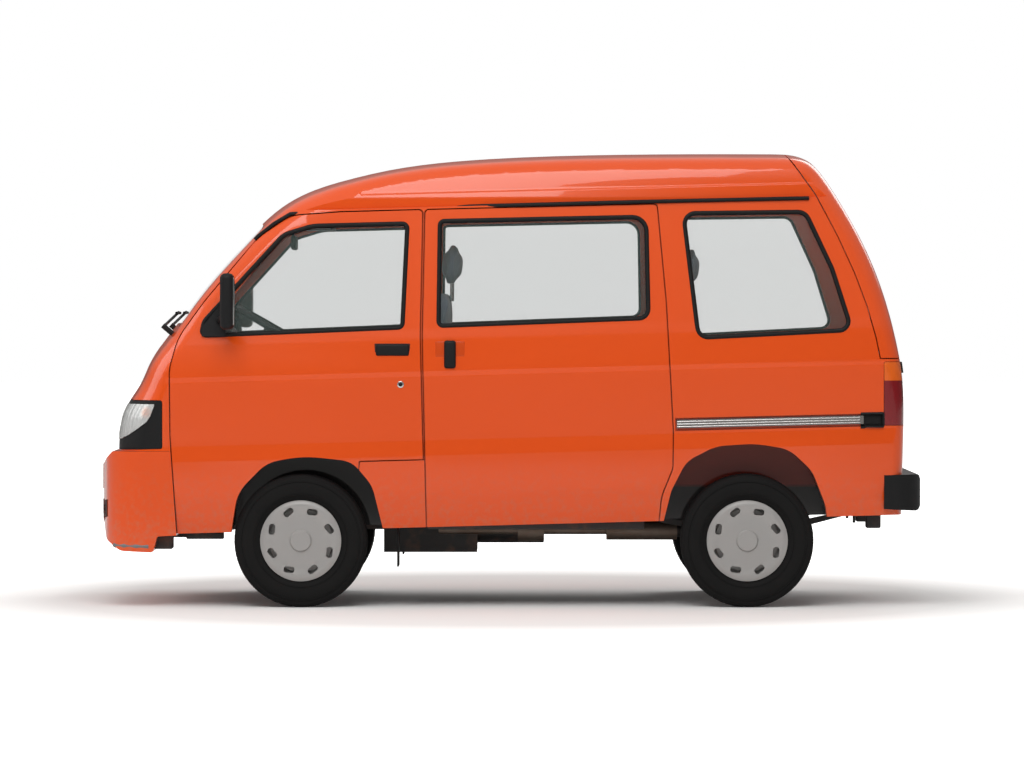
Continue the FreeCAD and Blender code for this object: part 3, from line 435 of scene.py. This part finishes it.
SIDE_WINDOWS = {
    "front_window_seal": ("front_door", [
        (FA - 0.438, ROOF - 0.298, 0.022), (FA - 0.047, ROOF - 0.308, 0.2),
        (FA + 0.071, ROOF - 0.344, 0.09), (FA + 0.396, ROOF - 0.700, 0.06),
        (FA + 0.408, BELT + 0.004, 0.02), (FA - 0.418, BELT + 0.038, 0.022)]),
    "sliding_window_seal": ("", [
        (FA - 0.569, ROOF - 0.288, 0.02), (RA + 0.412, ROOF - 0.270, 0.06),
        (RA + 0.404, BELT + 0.076, 0.04), (FA - 0.564, BELT + 0.044, 0.02)]),
    "quarter_window_seal": ("", [
        (RA + 0.262, ROOF - 0.256, 0.045), (RA - 0.240, ROOF - 0.250, 0.05),
        (RA - 0.349, ROOF - 0.484, 0.3), (RA - 0.428, BELT + 0.028, 0.04),
        (RA + 0.201, BELT - 0.004, 0.045)]),
}
SEAL_RADIUS = 0.0105
SEAL_SINK = 0.006
for name, (door, corners) in SIDE_WINDOWS.items():
    for side, sign in SIDES:
        points = [(x, sign * (side_width(x, z) - SEAL_SINK), z) for x, z in rounded(corners)]
        body = f"{side}_{door}" if door else VAN
        strip(f"{side}_{name}", points, SEAL_RADIUS, rubber, body)

SCREEN_FOOT = Vector((1.409, 0, 1.131))
SCREEN_HEAD = Vector((1.009, 0, 1.600))
screen_up = (SCREEN_HEAD - SCREEN_FOOT).normalized()
screen_out = Vector((screen_up.z, 0, -screen_up.x))
screen_height = (SCREEN_HEAD - SCREEN_FOOT).length
FOOT_HALF, HEAD_HALF = 0.575, 0.509
FOOT_LIFT, HEAD_DROP = 0.040, 0.028
screen_corners = [(FOOT_HALF, FOOT_LIFT, 0.07), (HEAD_HALF, screen_height - HEAD_DROP, 0.08),
                  (-HEAD_HALF, screen_height - HEAD_DROP, 0.08), (-FOOT_HALF, FOOT_LIFT, 0.07)]
SCREEN_BOW = 0.050
SCREEN_BOW_HALF = 0.64
points = []
for across, along in rounded(screen_corners, 8):
    sag = SCREEN_BOW * (across / SCREEN_BOW_HALF) ** 2 + 0.008
    points.append(SCREEN_FOOT + screen_up * along + Vector((0, across, 0)) - screen_out * sag)
strip("windscreen_seal", points, 0.013, rubber, VAN)

# ---- Roof gutters -------------------------------------------------------------------------
# A rolled gutter runs along each roof joint, from the foot of the screen pillar to the tail.


def surface_tree(names):
    """The finished panels of these nodes, as one surface to measure on."""
    surface = bmesh.new()
    for node in names:
        surface.from_mesh(bpy.data.objects[f"{node}_finished"].data)
    return BVHTree.FromBMesh(surface)


skin = surface_tree(PAINTED)


def on_side(x, z, sign):
    """The point of the painted side at x and z."""
    hit = skin.ray_cast(Vector((x, sign * 1.5, z)), Vector((0, -sign, 0)))[0]
    return hit if hit else Vector((x, sign * side_width(x, z), z))


GUTTER = [(1.040, 1.508), (1.028, 1.521), (0.962, 1.573), (0.895, 1.613), (0.790, 1.622),
          (0.687, 1.629), (0.442, 1.637), (-0.05, 1.650), (-0.540, 1.663), (-0.9, 1.671),
          (-1.235, 1.678)]
for side, sign in SIDES:
    points = []
    for x, z in GUTTER:
        point = on_side(x, z - 0.006, sign)
        points.append((x, point.y + sign * 0.003, z))
    strip(f"{side}_roof_gutter", points, 0.0085, rubber, VAN, closed=False)

# ---- Modelling helpers for the fitted pieces ----------------------------------------------------
# Small mouldings start as a block at their real size, are rounded by a bevel and then ride on
# the panel that carries them.


def block(name, low, high, round_off, finish, body, segments=4):
    """A block between two corners with rounded edges."""
    size = Vector(high) - Vector(low)
    bpy.ops.object.select_all(action="DESELECT")
    bpy.ops.mesh.primitive_cube_add(size=1, location=(Vector(low) + Vector(high)) / 2)
    piece = bpy.context.object
    piece.name = name
    piece.scale = size
    bpy.ops.object.transform_apply(location=True, rotation=True, scale=True)
    if round_off:
        bevel = piece.modifiers.new("edges", "BEVEL")
        bevel.width = min(round_off, min(size) * 0.49)
        bevel.segments = segments
        bpy.ops.object.modifier_apply(modifier="edges")
    return fitted(piece, finish, body)


def fitted(piece, finish, body):
    """Smooths a finished piece, gives it its finish and hangs it on its body."""
    select_only(piece)
    bpy.ops.object.transform_apply(location=True, rotation=True, scale=True)
    bpy.ops.object.shade_smooth_by_angle(angle=math.radians(40))
    piece.data.materials.clear()
    piece.data.materials.append(finish.material)
    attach(piece, body)
    return piece


def disc(name, centre, radius, depth, axis, finish, body, edge=0.002):
    """A round boss about an axis, with a rounded rim."""
    bpy.ops.object.select_all(action="DESELECT")
    bpy.ops.mesh.primitive_cylinder_add(vertices=40, radius=radius, depth=depth, location=centre)
    piece = bpy.context.object
    piece.name = name
    piece.rotation_euler = Vector(axis).to_track_quat("Z", "Y").to_euler()
    bpy.ops.object.transform_apply(location=True, rotation=True, scale=True)
    bevel = piece.modifiers.new("edges", "BEVEL")
    bevel.width = min(edge, depth * 0.4)
    bevel.segments = 3
    bevel.limit_method = "ANGLE"
    bpy.ops.object.modifier_apply(modifier="edges")
    return fitted(piece, finish, body)


def flat_grid(name, across, upwards):
    """A flat grid of unit size about the origin, to be laid on a surface."""
    bpy.ops.object.select_all(action="DESELECT")
    bpy.ops.mesh.primitive_grid_add(x_subdivisions=across, y_subdivisions=upwards, size=1)
    piece = bpy.context.object
    piece.name = name
    return piece


def thickened(piece, thick):
    """Gives a laid sheet its thickness, half to each side, with its faces turned outwards."""
    shell = piece.modifiers.new("thickness", "SOLIDIFY")
    shell.thickness = thick
    shell.offset = 0
    bpy.ops.object.modifier_apply(modifier="thickness")
    bpy.ops.object.mode_set(mode="EDIT")
    bpy.ops.mesh.select_all(action="SELECT")
    bpy.ops.mesh.normals_make_consistent(inside=False)
    bpy.ops.object.mode_set(mode="OBJECT")
    return piece


def patch(name, outline, finish, body, sign, lift, thick=0.002, cells=14):
    """A thin moulding on the van's side: outline(u, v) gives x and z for u and v from 0 to 1."""
    piece = flat_grid(name, cells, cells)
    for vertex in piece.data.vertices:
        x, z = outline(vertex.co.x + 0.5, vertex.co.y + 0.5)
        point = on_side(x, z, sign)
        vertex.co = Vector((x, point.y + sign * lift, z))
    return fitted(thickened(piece, thick), finish, body)


def four_sided(a, b, c, d):
    """An outline function over the four corners a to d, in order round the shape."""
    def outline(u, v):
        low = Vector(a).lerp(Vector(b), u)
        high = Vector(d).lerp(Vector(c), u)
        return low.lerp(high, v)
    return outline


chrome = Finish("bright_metal", (0.62, 0.61, 0.60), 0.2, 1.0)
chrome.set("Roughness", chrome.noise(120.0) * 0.12 + 0.14)
# Painted shade: a very dark red, the orange as it looks in shade, laid in the front doors' handle
# dishes and over the bumper's fog lamp recesses.
painted_shade_red = Finish("recess_painted_shade", (0.05, 0.008, 0.004), 0.8)
painted_shade_red.set("Roughness", painted_shade_red.noise(80.0) * 0.1 + 0.75)

# ---- Door handles and locks ---------------------------------------------------------------------
# Black moulded lift handles in dishes coloured as painted shade: one lying on each front door, one
# standing on each sliding door. The front doors carry a round key lock below theirs.

for side, sign in SIDES:
    door = f"{side}_front_door"
    skin_y = abs(on_side(FA - 0.376, 1.054, sign).y)
    low, high = sorted((sign * (skin_y - 0.006), sign * skin_y))
    # Its dish is painted shade: a very dark red block.
    block(f"{door}_handle_dish", (FA - 0.449, low, BELT - 0.096),
          (FA - 0.303, high + 0.0004, BELT - 0.026), 0.008, painted_shade_red, door)
    low, high = sorted((sign * (skin_y - 0.010), sign * (skin_y + 0.007)))
    block(f"{door}_handle_flap", (FA - 0.445, low, BELT - 0.077), (FA - 0.308, high, BELT - 0.028),
          0.010, black, door)
    lock = on_side(FA - 0.410, 0.914, sign)
    disc(f"{door}_lock_ring", (lock.x, lock.y, lock.z), 0.014, 0.006, (0, 1, 0), chrome,
         door)
    disc(f"{door}_lock_barrel", (lock.x, lock.y + sign * 0.001, lock.z), 0.008, 0.008, (0, 1, 0),
         black, door)
    skin_y = abs(on_side(FA - 0.611, 1.036, sign).y)
    low, high = sorted((sign * (skin_y - 0.004), sign * (skin_y + 0.0005)))
    # Its dish is painted shade: the orange darkened.
    block(f"{side}_sliding_door_handle_dish", (FA - 0.672, low, BELT - 0.128),
          (FA - 0.552, high, BELT - 0.018), 0.012, dish_shade_paint, VAN)
    low, high = sorted((sign * (skin_y - 0.008), sign * (skin_y + 0.014)))
    block(f"{side}_sliding_door_handle", (FA - 0.636, low, BELT - 0.128),
          (FA - 0.588, high, BELT - 0.014), 0.010, black, VAN)

# ---- Slide rail ends and beads ------------------------------------------------------------------
# A black block closes the rear end of each slide rail beside the tail lamp, and three bright
# beads run along the rail.

RAIL_FOOT = 0.735
RAIL_RISE = 0.0235
RAIL_FACE = 0.6895
for side, sign in SIDES:
    end_block = four_sided((RA - 0.557, 0.738), (RA - 0.463, 0.738),
                           (RA - 0.463, 0.796), (RA - 0.557, 0.798))
    patch(f"{side}_rail_end_block", end_block, black, VAN, sign, 0.003, 0.008)
    for index, height in enumerate((0.006, 0.0165, 0.027)):
        points = []
        for x in (RA + 0.288, RA - 0.1, RA - 0.46):
            base = RAIL_FOOT + (RA + 0.29 - x) * RAIL_RISE
            points.append((x, sign * RAIL_FACE, base + height))
        strip(f"{side}_rail_bead_{index}", points, 0.0022, chrome, VAN, closed=False)

# ---- Headlamps ----------------------------------------------------------------------------------
# A clear moulded lens over a bright fluted reflector, set in the black lamp housing, with an
# amber bulb at its rear upper corner.

LAMP_PIVOT = Vector((FA + 0.55, 0.40))
LENS_EDGE = ((9.4, 0.826), (11.7, 0.789), (15.6, 0.758), (23.3, 0.732), (33.0, 0.706),
             (45.0, 0.690), (92.0, 0.684))
LENS_TOP = 0.833
LENS_START = LENS_EDGE[0][0]
LENS_TURN = 80.0
LENS_WALL = 0.0016
lamp_tree = surface_tree(["headlights"])


def lens_layer(name, sign, lift, finish, around=28, upwards=8):
    """A sheet over the lamp's front, lifted off its housing."""
    piece = flat_grid(name, around, upwards)
    for vertex in piece.data.vertices:
        angle = LENS_START + (vertex.co.x + 0.5) * LENS_TURN
        foot = read_off(LENS_EDGE, angle)
        z = foot + (LENS_TOP - foot) * (vertex.co.y + 0.5)
        turn = math.radians(angle)
        outward = Vector((math.sin(turn), sign * math.cos(turn), 0))
        start = Vector((LAMP_PIVOT.x, sign * LAMP_PIVOT.y, z)) + outward * 0.5
        hit = lamp_tree.ray_cast(start, -outward)[0] or start - outward * 0.25
        vertex.co = hit + outward * lift
    return fitted(thickened(piece, LENS_WALL), finish, VAN)


reflector = Finish("lamp_reflector", (0.62, 0.62, 0.60), 0.25, 0.5)
flutes = reflector.add("ShaderNodeTexWave", {"wave_type": "BANDS", "bands_direction": "Y"},
                       {"Vector": reflector.place(), "Scale": 14.0, "Distortion": 1.5})
reflector.bump(flutes, 0.6, 0.004)
amber_spots = []
for side, sign in SIDES:
    away = reflector.add("ShaderNodeVectorMath", {"operation": "DISTANCE"},
                         {0: reflector.place(), 1: (FA + 0.628, sign * 0.68, 0.798)}, "Value")
    amber_spots.append(1 - away.clipped(0.012, 0.03))
amber_share = (amber_spots[0] + amber_spots[1]) * 0.8
reflector.set("Base Color", reflector.mix(amber_share, reflector.colour, (0.75, 0.26, 0.08, 1)))
for side, sign in SIDES:
    lens_layer(f"{side}_lamp_reflector", sign, 0.0012, reflector)
    lens_layer(f"{side}_lamp_lens", sign, 0.0045, lens)

# ---- Door mirrors -------------------------------------------------------------------------------
# A tall rounded black shell on a stub arm from the triangular patch in the window's front corner.

for side, sign in SIDES:
    door = f"{side}_front_door"
    low, high = sorted((sign * 0.738, sign * 0.864))
    shell = block(f"{side}_mirror_shell", (FA + 0.266, low, BELT + 0.032),
                  (FA + 0.321, high, ROOF - 0.503), 0.022, black, door, 5)
    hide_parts(f"{side}_mirror")
    pane_low, pane_high = sorted((sign * 0.752, sign * 0.852))
    block(f"{side}_mirror_pane", (FA + 0.2645, pane_low, BELT + 0.050),
          (FA + 0.268, pane_high, ROOF - 0.522), 0.012, chrome, door)
    strip(f"{side}_mirror_arm",
          [(FA + 0.340, sign * 0.655, BELT + 0.060), (FA + 0.325, sign * 0.705, BELT + 0.075),
           (FA + 0.300, sign * 0.76, BELT + 0.085)],
          0.014, black, door, closed=False)
    base = four_sided((FA + 0.306, BELT + 0.001), (FA + 0.404, BELT + 0.004),
                      (FA + 0.400, BELT + 0.045), (FA + 0.310, BELT + 0.157))
    patch(f"{side}_mirror_base", base, black, door, sign, 0.006, 0.012)

# ---- Front bumper lip, painted shade of the fog recesses, and plates ----------------------------
# A grey rubbing lip wraps the bumper's lower edge; a blank plate is let into its face, with dark
# sheets of painted shade for its fog lamp recesses; a second blank plate sits on the tailgate.

bumper_tree = surface_tree(["front_bumper"])
grey = Finish("grey_rubbing_strip", (0.16, 0.16, 0.16), 0.5)
grey.set("Roughness", grey.noise(60.0) * 0.2 + 0.4)
NOSE_PIVOT = Vector((FA + 0.55, 0.0))
LIP_TURN = 84
LIP_STEPS = 40
LIP_END, LIP_MIDDLE = 0.250, 0.282
lip = []
for step in range(LIP_STEPS + 1):
    turn = math.radians(LIP_TURN * (2 * step / LIP_STEPS - 1))
    edge = abs(2 * step / LIP_STEPS - 1)
    z = LIP_MIDDLE + (LIP_END - LIP_MIDDLE) * edge
    outward = Vector((math.cos(turn), math.sin(turn), 0))
    hit = bumper_tree.ray_cast(Vector((NOSE_PIVOT.x, 0, z)) + outward * 1.2, -outward)[0]
    if hit and hit.x > FA + 0.56:
        lip.append(hit - outward * 0.009)
strip("front_bumper_lip", lip, 0.012, grey, VAN, closed=False)


def on_face(y, z, tree, way=1):
    """The point of the front surface, or with way -1 of the rear one, at y and z."""
    return tree.ray_cast(Vector((3.0 * way, y, z)), Vector((-way, 0, 0)))[0]


def front_patch(name, corners, tree, lift, finish, body, thick=0.004, cells=12, way=1):
    """A thin moulding on the front or rear face: corners are (y, z)."""
    outline = four_sided(*corners)
    piece = flat_grid(name, cells, cells)
    for vertex in piece.data.vertices:
        y, z = outline(vertex.co.x + 0.5, vertex.co.y + 0.5)
        vertex.co = Vector((on_face(y, z, tree, way).x + way * lift, y, z))
    return fitted(thickened(piece, thick), finish, body)


plate = Finish("blank_plate", (0.70, 0.70, 0.68), 0.35)
plate.set("Roughness", plate.noise(90.0) * 0.1 + 0.3)
front_patch("front_plate", ((-0.26, 0.475), (0.26, 0.475), (0.26, 0.585), (-0.26, 0.585)),
            bumper_tree, 0.002, plate, VAN)
front_patch("bumper_air_slot", ((-0.34, 0.335), (0.34, 0.335), (0.32, 0.43), (-0.32, 0.43)),
            bumper_tree, 0.001, black, VAN)
for side, sign in SIDES:
    corners = [(sign * y, z) for y, z in ((0.44, 0.36), (0.58, 0.37), (0.58, 0.44), (0.45, 0.43))]
    # A dark sheet of painted shade where the fog lamp's recess is.
    front_patch(f"{side}_fog_shade_sheet", corners, bumper_tree, 0.001, painted_shade_red, VAN)
    centre = on_face(sign * 0.50, 0.400, bumper_tree)
    disc(f"{side}_fog_blank", (centre.x + 0.001, centre.y, centre.z), 0.028, 0.006, (1, 0, 0),
         black, VAN)
front_patch("front_grille_strip", ((-0.36, 0.70), (0.36, 0.70), (0.36, 0.735), (-0.36, 0.735)),
            skin, 0.001, black, VAN)

tail_tree = surface_tree(["tailgate"])
front_patch("rear_plate", ((-0.26, 0.80), (0.26, 0.80), (0.26, 0.91), (-0.26, 0.91)),
            tail_tree, 0.002, plate, "tailgate", way=-1)
front_patch("tailgate_handle", ((-0.20, 0.955), (0.20, 0.955), (0.20, 1.0), (-0.20, 1.0)),
            tail_tree, 0.010, black, "tailgate", thick=0.018, way=-1)

# ---- Tyre tread and sidewall rings --------------------------------------------------------------
# Moulded rubber: four grooves run round the tread between blocks, and raised rings and a rim
# guard stand on each sidewall.

LUGS_ROUND = 66
LUG_SIZE = (0.0195, 0.021, 0.0052)
LUG_SINK = 0.0024
LUG_TWIST = 14
TREAD_ROWS = ((-0.0425, 0.35), (-0.0145, 0.0), (0.0145, 0.5), (0.0425, 0.85))
SHOULDER = 0.03
SHOULDER_DROP = 0.0012
SHOULDER_LEAN = 0.16
SIDEWALL_RINGS = ((0.189, 0.0762), (0.243, 0.0772))
RING_SINK = 0.0012
for name in ("front_left", "front_right", "rear_left", "rear_right"):
    low, high = (Vector(corner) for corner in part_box(f"{name}_tyre"))
    hub = (low + high) / 2
    outer_radius = (high.z - low.z) / 2
    bpy.ops.object.select_all(action="DESELECT")
    bpy.ops.mesh.primitive_cube_add(size=1)
    lug = bpy.context.object
    lug.name = f"{name}_tread_blocks"
    lug.scale = LUG_SIZE
    lug.location = (0, 0, outer_radius - LUG_SINK)
    bpy.ops.object.transform_apply(location=True, rotation=True, scale=True)
    merged = bpy.data.meshes.new(f"{name}_tread_blocks")
    vertices, faces = [], []
    for across, phase in TREAD_ROWS:
        on_shoulder = abs(across) > SHOULDER
        drop = SHOULDER_DROP if on_shoulder else 0.0
        twist = Matrix.Rotation(math.radians(math.copysign(LUG_TWIST, across)), 4, "Z")
        lean = Matrix.Rotation(math.copysign(SHOULDER_LEAN, across) if on_shoulder else 0.0, 4, "X")
        seat = Vector((0, across, outer_radius - drop))
        for index in range(LUGS_ROUND):
            turn = Matrix.Rotation(2 * math.pi * (index + phase) / LUGS_ROUND, 4, "Y")
            start = len(vertices)
            for vertex in lug.data.vertices:
                local = vertex.co - Vector((0, 0, outer_radius))
                vertices.append(hub + turn @ (lean.inverted() @ (twist @ local) + seat))
            faces += [[start + corner for corner in face.vertices] for face in lug.data.polygons]
    merged.from_pydata(vertices, [], faces)
    lug.data = merged
    fitted(lug, tread, f"{name}_wheel")
    for side_sign in (1, -1):
        face = "outer" if side_sign * hub.y > 0 else "inner"
        for radius, out in SIDEWALL_RINGS:
            y = hub.y + side_sign * (out - RING_SINK)
            turns = [math.radians(angle) for angle in range(0, 360, 5)]
            ring = [(hub.x + radius * math.cos(turn), y, hub.z + radius * math.sin(turn))
                    for turn in turns]
            strip(f"{name}_{face}_ring_{round(radius * 1000)}", ring, 0.0016, tread,
                  f"{name}_wheel")

# ---- Seats --------------------------------------------------------------------------------------
# Foam cushions and backs under stretched grey-blue cloth, crowned between welted edges, with
# separate headrests on two posts each.


CHANNEL_DEPTH, CHANNEL_PLACE, CHANNEL_WIDTH = 0.006, 0.62, 0.07


def cushion(name, low, high, lean, body, crown=0.014):
    """A crowned pad between two corners, leaned about Y, its sides drawn in between corners."""
    middle = (Vector(low) + Vector(high)) / 2
    size = Vector(high) - Vector(low)
    bpy.ops.object.select_all(action="DESELECT")
    bpy.ops.mesh.primitive_cube_add(size=2)
    piece = bpy.context.object
    piece.name = name
    bpy.ops.object.mode_set(mode="EDIT")
    bpy.ops.mesh.select_all(action="SELECT")
    bpy.ops.mesh.subdivide(number_cuts=7)
    bpy.ops.object.mode_set(mode="OBJECT")
    turn = Matrix.Rotation(lean, 3, "Y")
    for vertex in piece.data.vertices:
        a, b, c = vertex.co
        inside = [(1 - abs(value) ** 4) for value in (a, b, c)]
        scaled = []
        for axis, value in enumerate((a, b, c)):
            others = [inside[other] for other in range(3) if other != axis]
            fullness = others[0] * others[1]
            scaled.append(value * (size[axis] / 2 - crown * 1.6 * (1 - fullness)))
        channel = CHANNEL_DEPTH * math.exp(-((abs(b) - CHANNEL_PLACE) / CHANNEL_WIDTH) ** 2)
        local = Vector(scaled)
        local.x -= math.copysign(channel, a) * (abs(a) > 0.98)
        local.z -= math.copysign(channel, c) * (abs(c) > 0.98)
        vertex.co = middle + turn @ local
    smooth = piece.modifiers.new("smooth", "SUBSURF")
    smooth.levels = 1
    smooth.render_levels = 1
    bpy.ops.object.modifier_apply(modifier="smooth")
    fitted(piece, cloth, body)
    return piece


SEAT_TOP = 0.655
for side, sign in SIDES:
    middle = sign * 0.330
    base = cushion(f"{side}_front_seat_cushion", (FA - 0.50, middle - 0.232, SEAT_TOP + 0.028),
                   (FA - 0.03, middle + 0.232, SEAT_TOP + 0.158), math.radians(-2), VAN)
    cushion(f"{side}_front_seat_back", (FA - 0.592, middle - 0.222, SEAT_TOP + 0.10),
            (FA - 0.482, middle + 0.222, SEAT_TOP + 0.635), math.radians(-9), VAN)
    cushion(f"{side}_front_headrest", (FA - 0.655, middle - 0.112, SEAT_TOP + 0.672),
            (FA - 0.575, middle + 0.112, SEAT_TOP + 0.832), math.radians(-6), VAN)
    for post in (-0.045, 0.045):
        strip(f"{side}_front_headrest_post_{'a' if post < 0 else 'b'}",
              [(FA - 0.613, middle + post, SEAT_TOP + 0.60),
               (FA - 0.615, middle + post, SEAT_TOP + 0.70)],
              0.005, chrome, VAN, closed=False)
    block(f"{side}_front_seat_frame", (FA - 0.49, middle - 0.18, SEAT_TOP + 0.001),
          (FA - 0.07, middle + 0.18, SEAT_TOP + 0.034), 0.006, black, VAN)
    if sign > 0:
        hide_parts("front_seats")

REAR_SEAT = RA + 0.790
LOAD = 0.500
bench = cushion("rear_bench_cushion", (REAR_SEAT - 0.47, -0.552, LOAD + 0.208),
                (REAR_SEAT - 0.01, 0.552, LOAD + 0.322), math.radians(-2), VAN)
cushion("rear_bench_back", (REAR_SEAT - 0.568, -0.548, LOAD + 0.23),
        (REAR_SEAT - 0.462, 0.548, LOAD + 0.775), math.radians(-9), VAN)
for side, sign in SIDES:
    cushion(f"{side}_rear_headrest", (REAR_SEAT - 0.603, sign * 0.33 - 0.112, LOAD + 0.812),
            (REAR_SEAT - 0.528, sign * 0.33 + 0.112, LOAD + 0.970), math.radians(-6), VAN)
    for post in (-0.045, 0.045):
        strip(f"{side}_rear_headrest_post_{'a' if post < 0 else 'b'}",
              [(REAR_SEAT - 0.56, sign * 0.33 + post, LOAD + 0.74),
               (REAR_SEAT - 0.565, sign * 0.33 + post, LOAD + 0.84)],
              0.005, chrome, VAN, closed=False)
block("rear_bench_frame", (REAR_SEAT - 0.44, -0.40, LOAD + 0.001),
      (REAR_SEAT - 0.06, 0.40, LOAD + 0.215), 0.01, black, VAN)
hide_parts("rear_seat")

# ---- Brackets and flaps under the body ----------------------------------------------------------
# Rubber flaps hang behind the front wheels; pressed black brackets carry the bumper's ends, the
# front chassis legs and the rear tow points.

UNDER_BODY = (
    ("front_mud_flap", (FA - 0.402, 0.47, 0.165), (FA - 0.394, 0.63, 0.352), 0.003, rubber),
    ("front_leg", (FA + 0.325, 0.44, 0.272), (FA + 0.480, 0.475, 0.300), 0.005, chassis),
    ("bumper_bracket", (FA + 0.528, 0.52, 0.236), (FA + 0.606, 0.60, 0.298), 0.008, chassis),
    ("rear_tow_bracket", (RA - 0.568, 0.30, 0.312), (RA - 0.506, 0.36, 0.380), 0.008, chassis),
    ("sill_jack_rail", (RA + 0.42, 0.585, 0.318), (FA - 0.52, 0.600, 0.352), 0.004, chassis))
PIPE_HOLDERS = {"left": "left_exhaust_hanger", "right": "right_pipe_clip"}
for side, sign in SIDES:
    for name, low, high, round_off, finish in UNDER_BODY:
        ys = sorted((sign * low[1], sign * high[1]))
        slot = "chassis_black" if finish is chassis else "tyre"
        block(f"{side}_{name}", (low[0], ys[0], low[2]), (high[0], ys[1], high[2]),
              round_off, finish, VAN)
    strip(PIPE_HOLDERS[side],
          [(RA - 0.464, sign * 0.235, 0.33), (RA - 0.464, sign * 0.235, 0.395)], 0.006, chassis,
          VAN, closed=False)

# ---- Cabin fittings -----------------------------------------------------------------------------
# A rear-view mirror hangs from the windscreen's head and two grey visors lie under the roof's
# front edge.

stem = [(FA + 0.075, 0, 1.575), (FA + 0.06, 0, 1.545), (FA + 0.055, 0, 1.525)]
strip("interior_mirror_stem", stem, 0.006, black, VAN, closed=False)
block("interior_mirror", (FA + 0.040, -0.115, 1.470), (FA + 0.062, 0.115, 1.530), 0.010, black,
      VAN)
for side, sign in SIDES:
    ys = sorted((sign * 0.13, sign * 0.46))
    block(f"{side}_sun_visor", (FA - 0.11, ys[0], 1.556), (FA + 0.02, ys[1], 1.574), 0.008, dash,
          VAN)

# ---- The floor's own finish ---------------------------------------------------------------------
# Matt off-white; away from the van it brightens to the plain white of the backdrop.

pale = Finish("studio_floor_paint", (0.80, 0.80, 0.79), 0.9)
pale.set("Base Color", pale.mix(pale.noise(0.8) * 0.2, pale.colour, (0.76, 0.76, 0.755, 1)))
from_van = pale.add("ShaderNodeVectorMath", {"operation": "LENGTH"}, {0: pale.place()}, "Value")
seen_floor = pale.add("ShaderNodeLightPath", {}, {}, "Is Camera Ray")
pale_glow = seen_floor * (from_van.clipped(1.9, 3.6) * 0.9 + 0.02)
pale.set("Emission Color", pale.mix(pale_glow, (0, 0, 0, 1), (1, 1, 1, 1)))
pale.set("Emission Strength", 1.0)
floor.data.materials.append(pale.material)
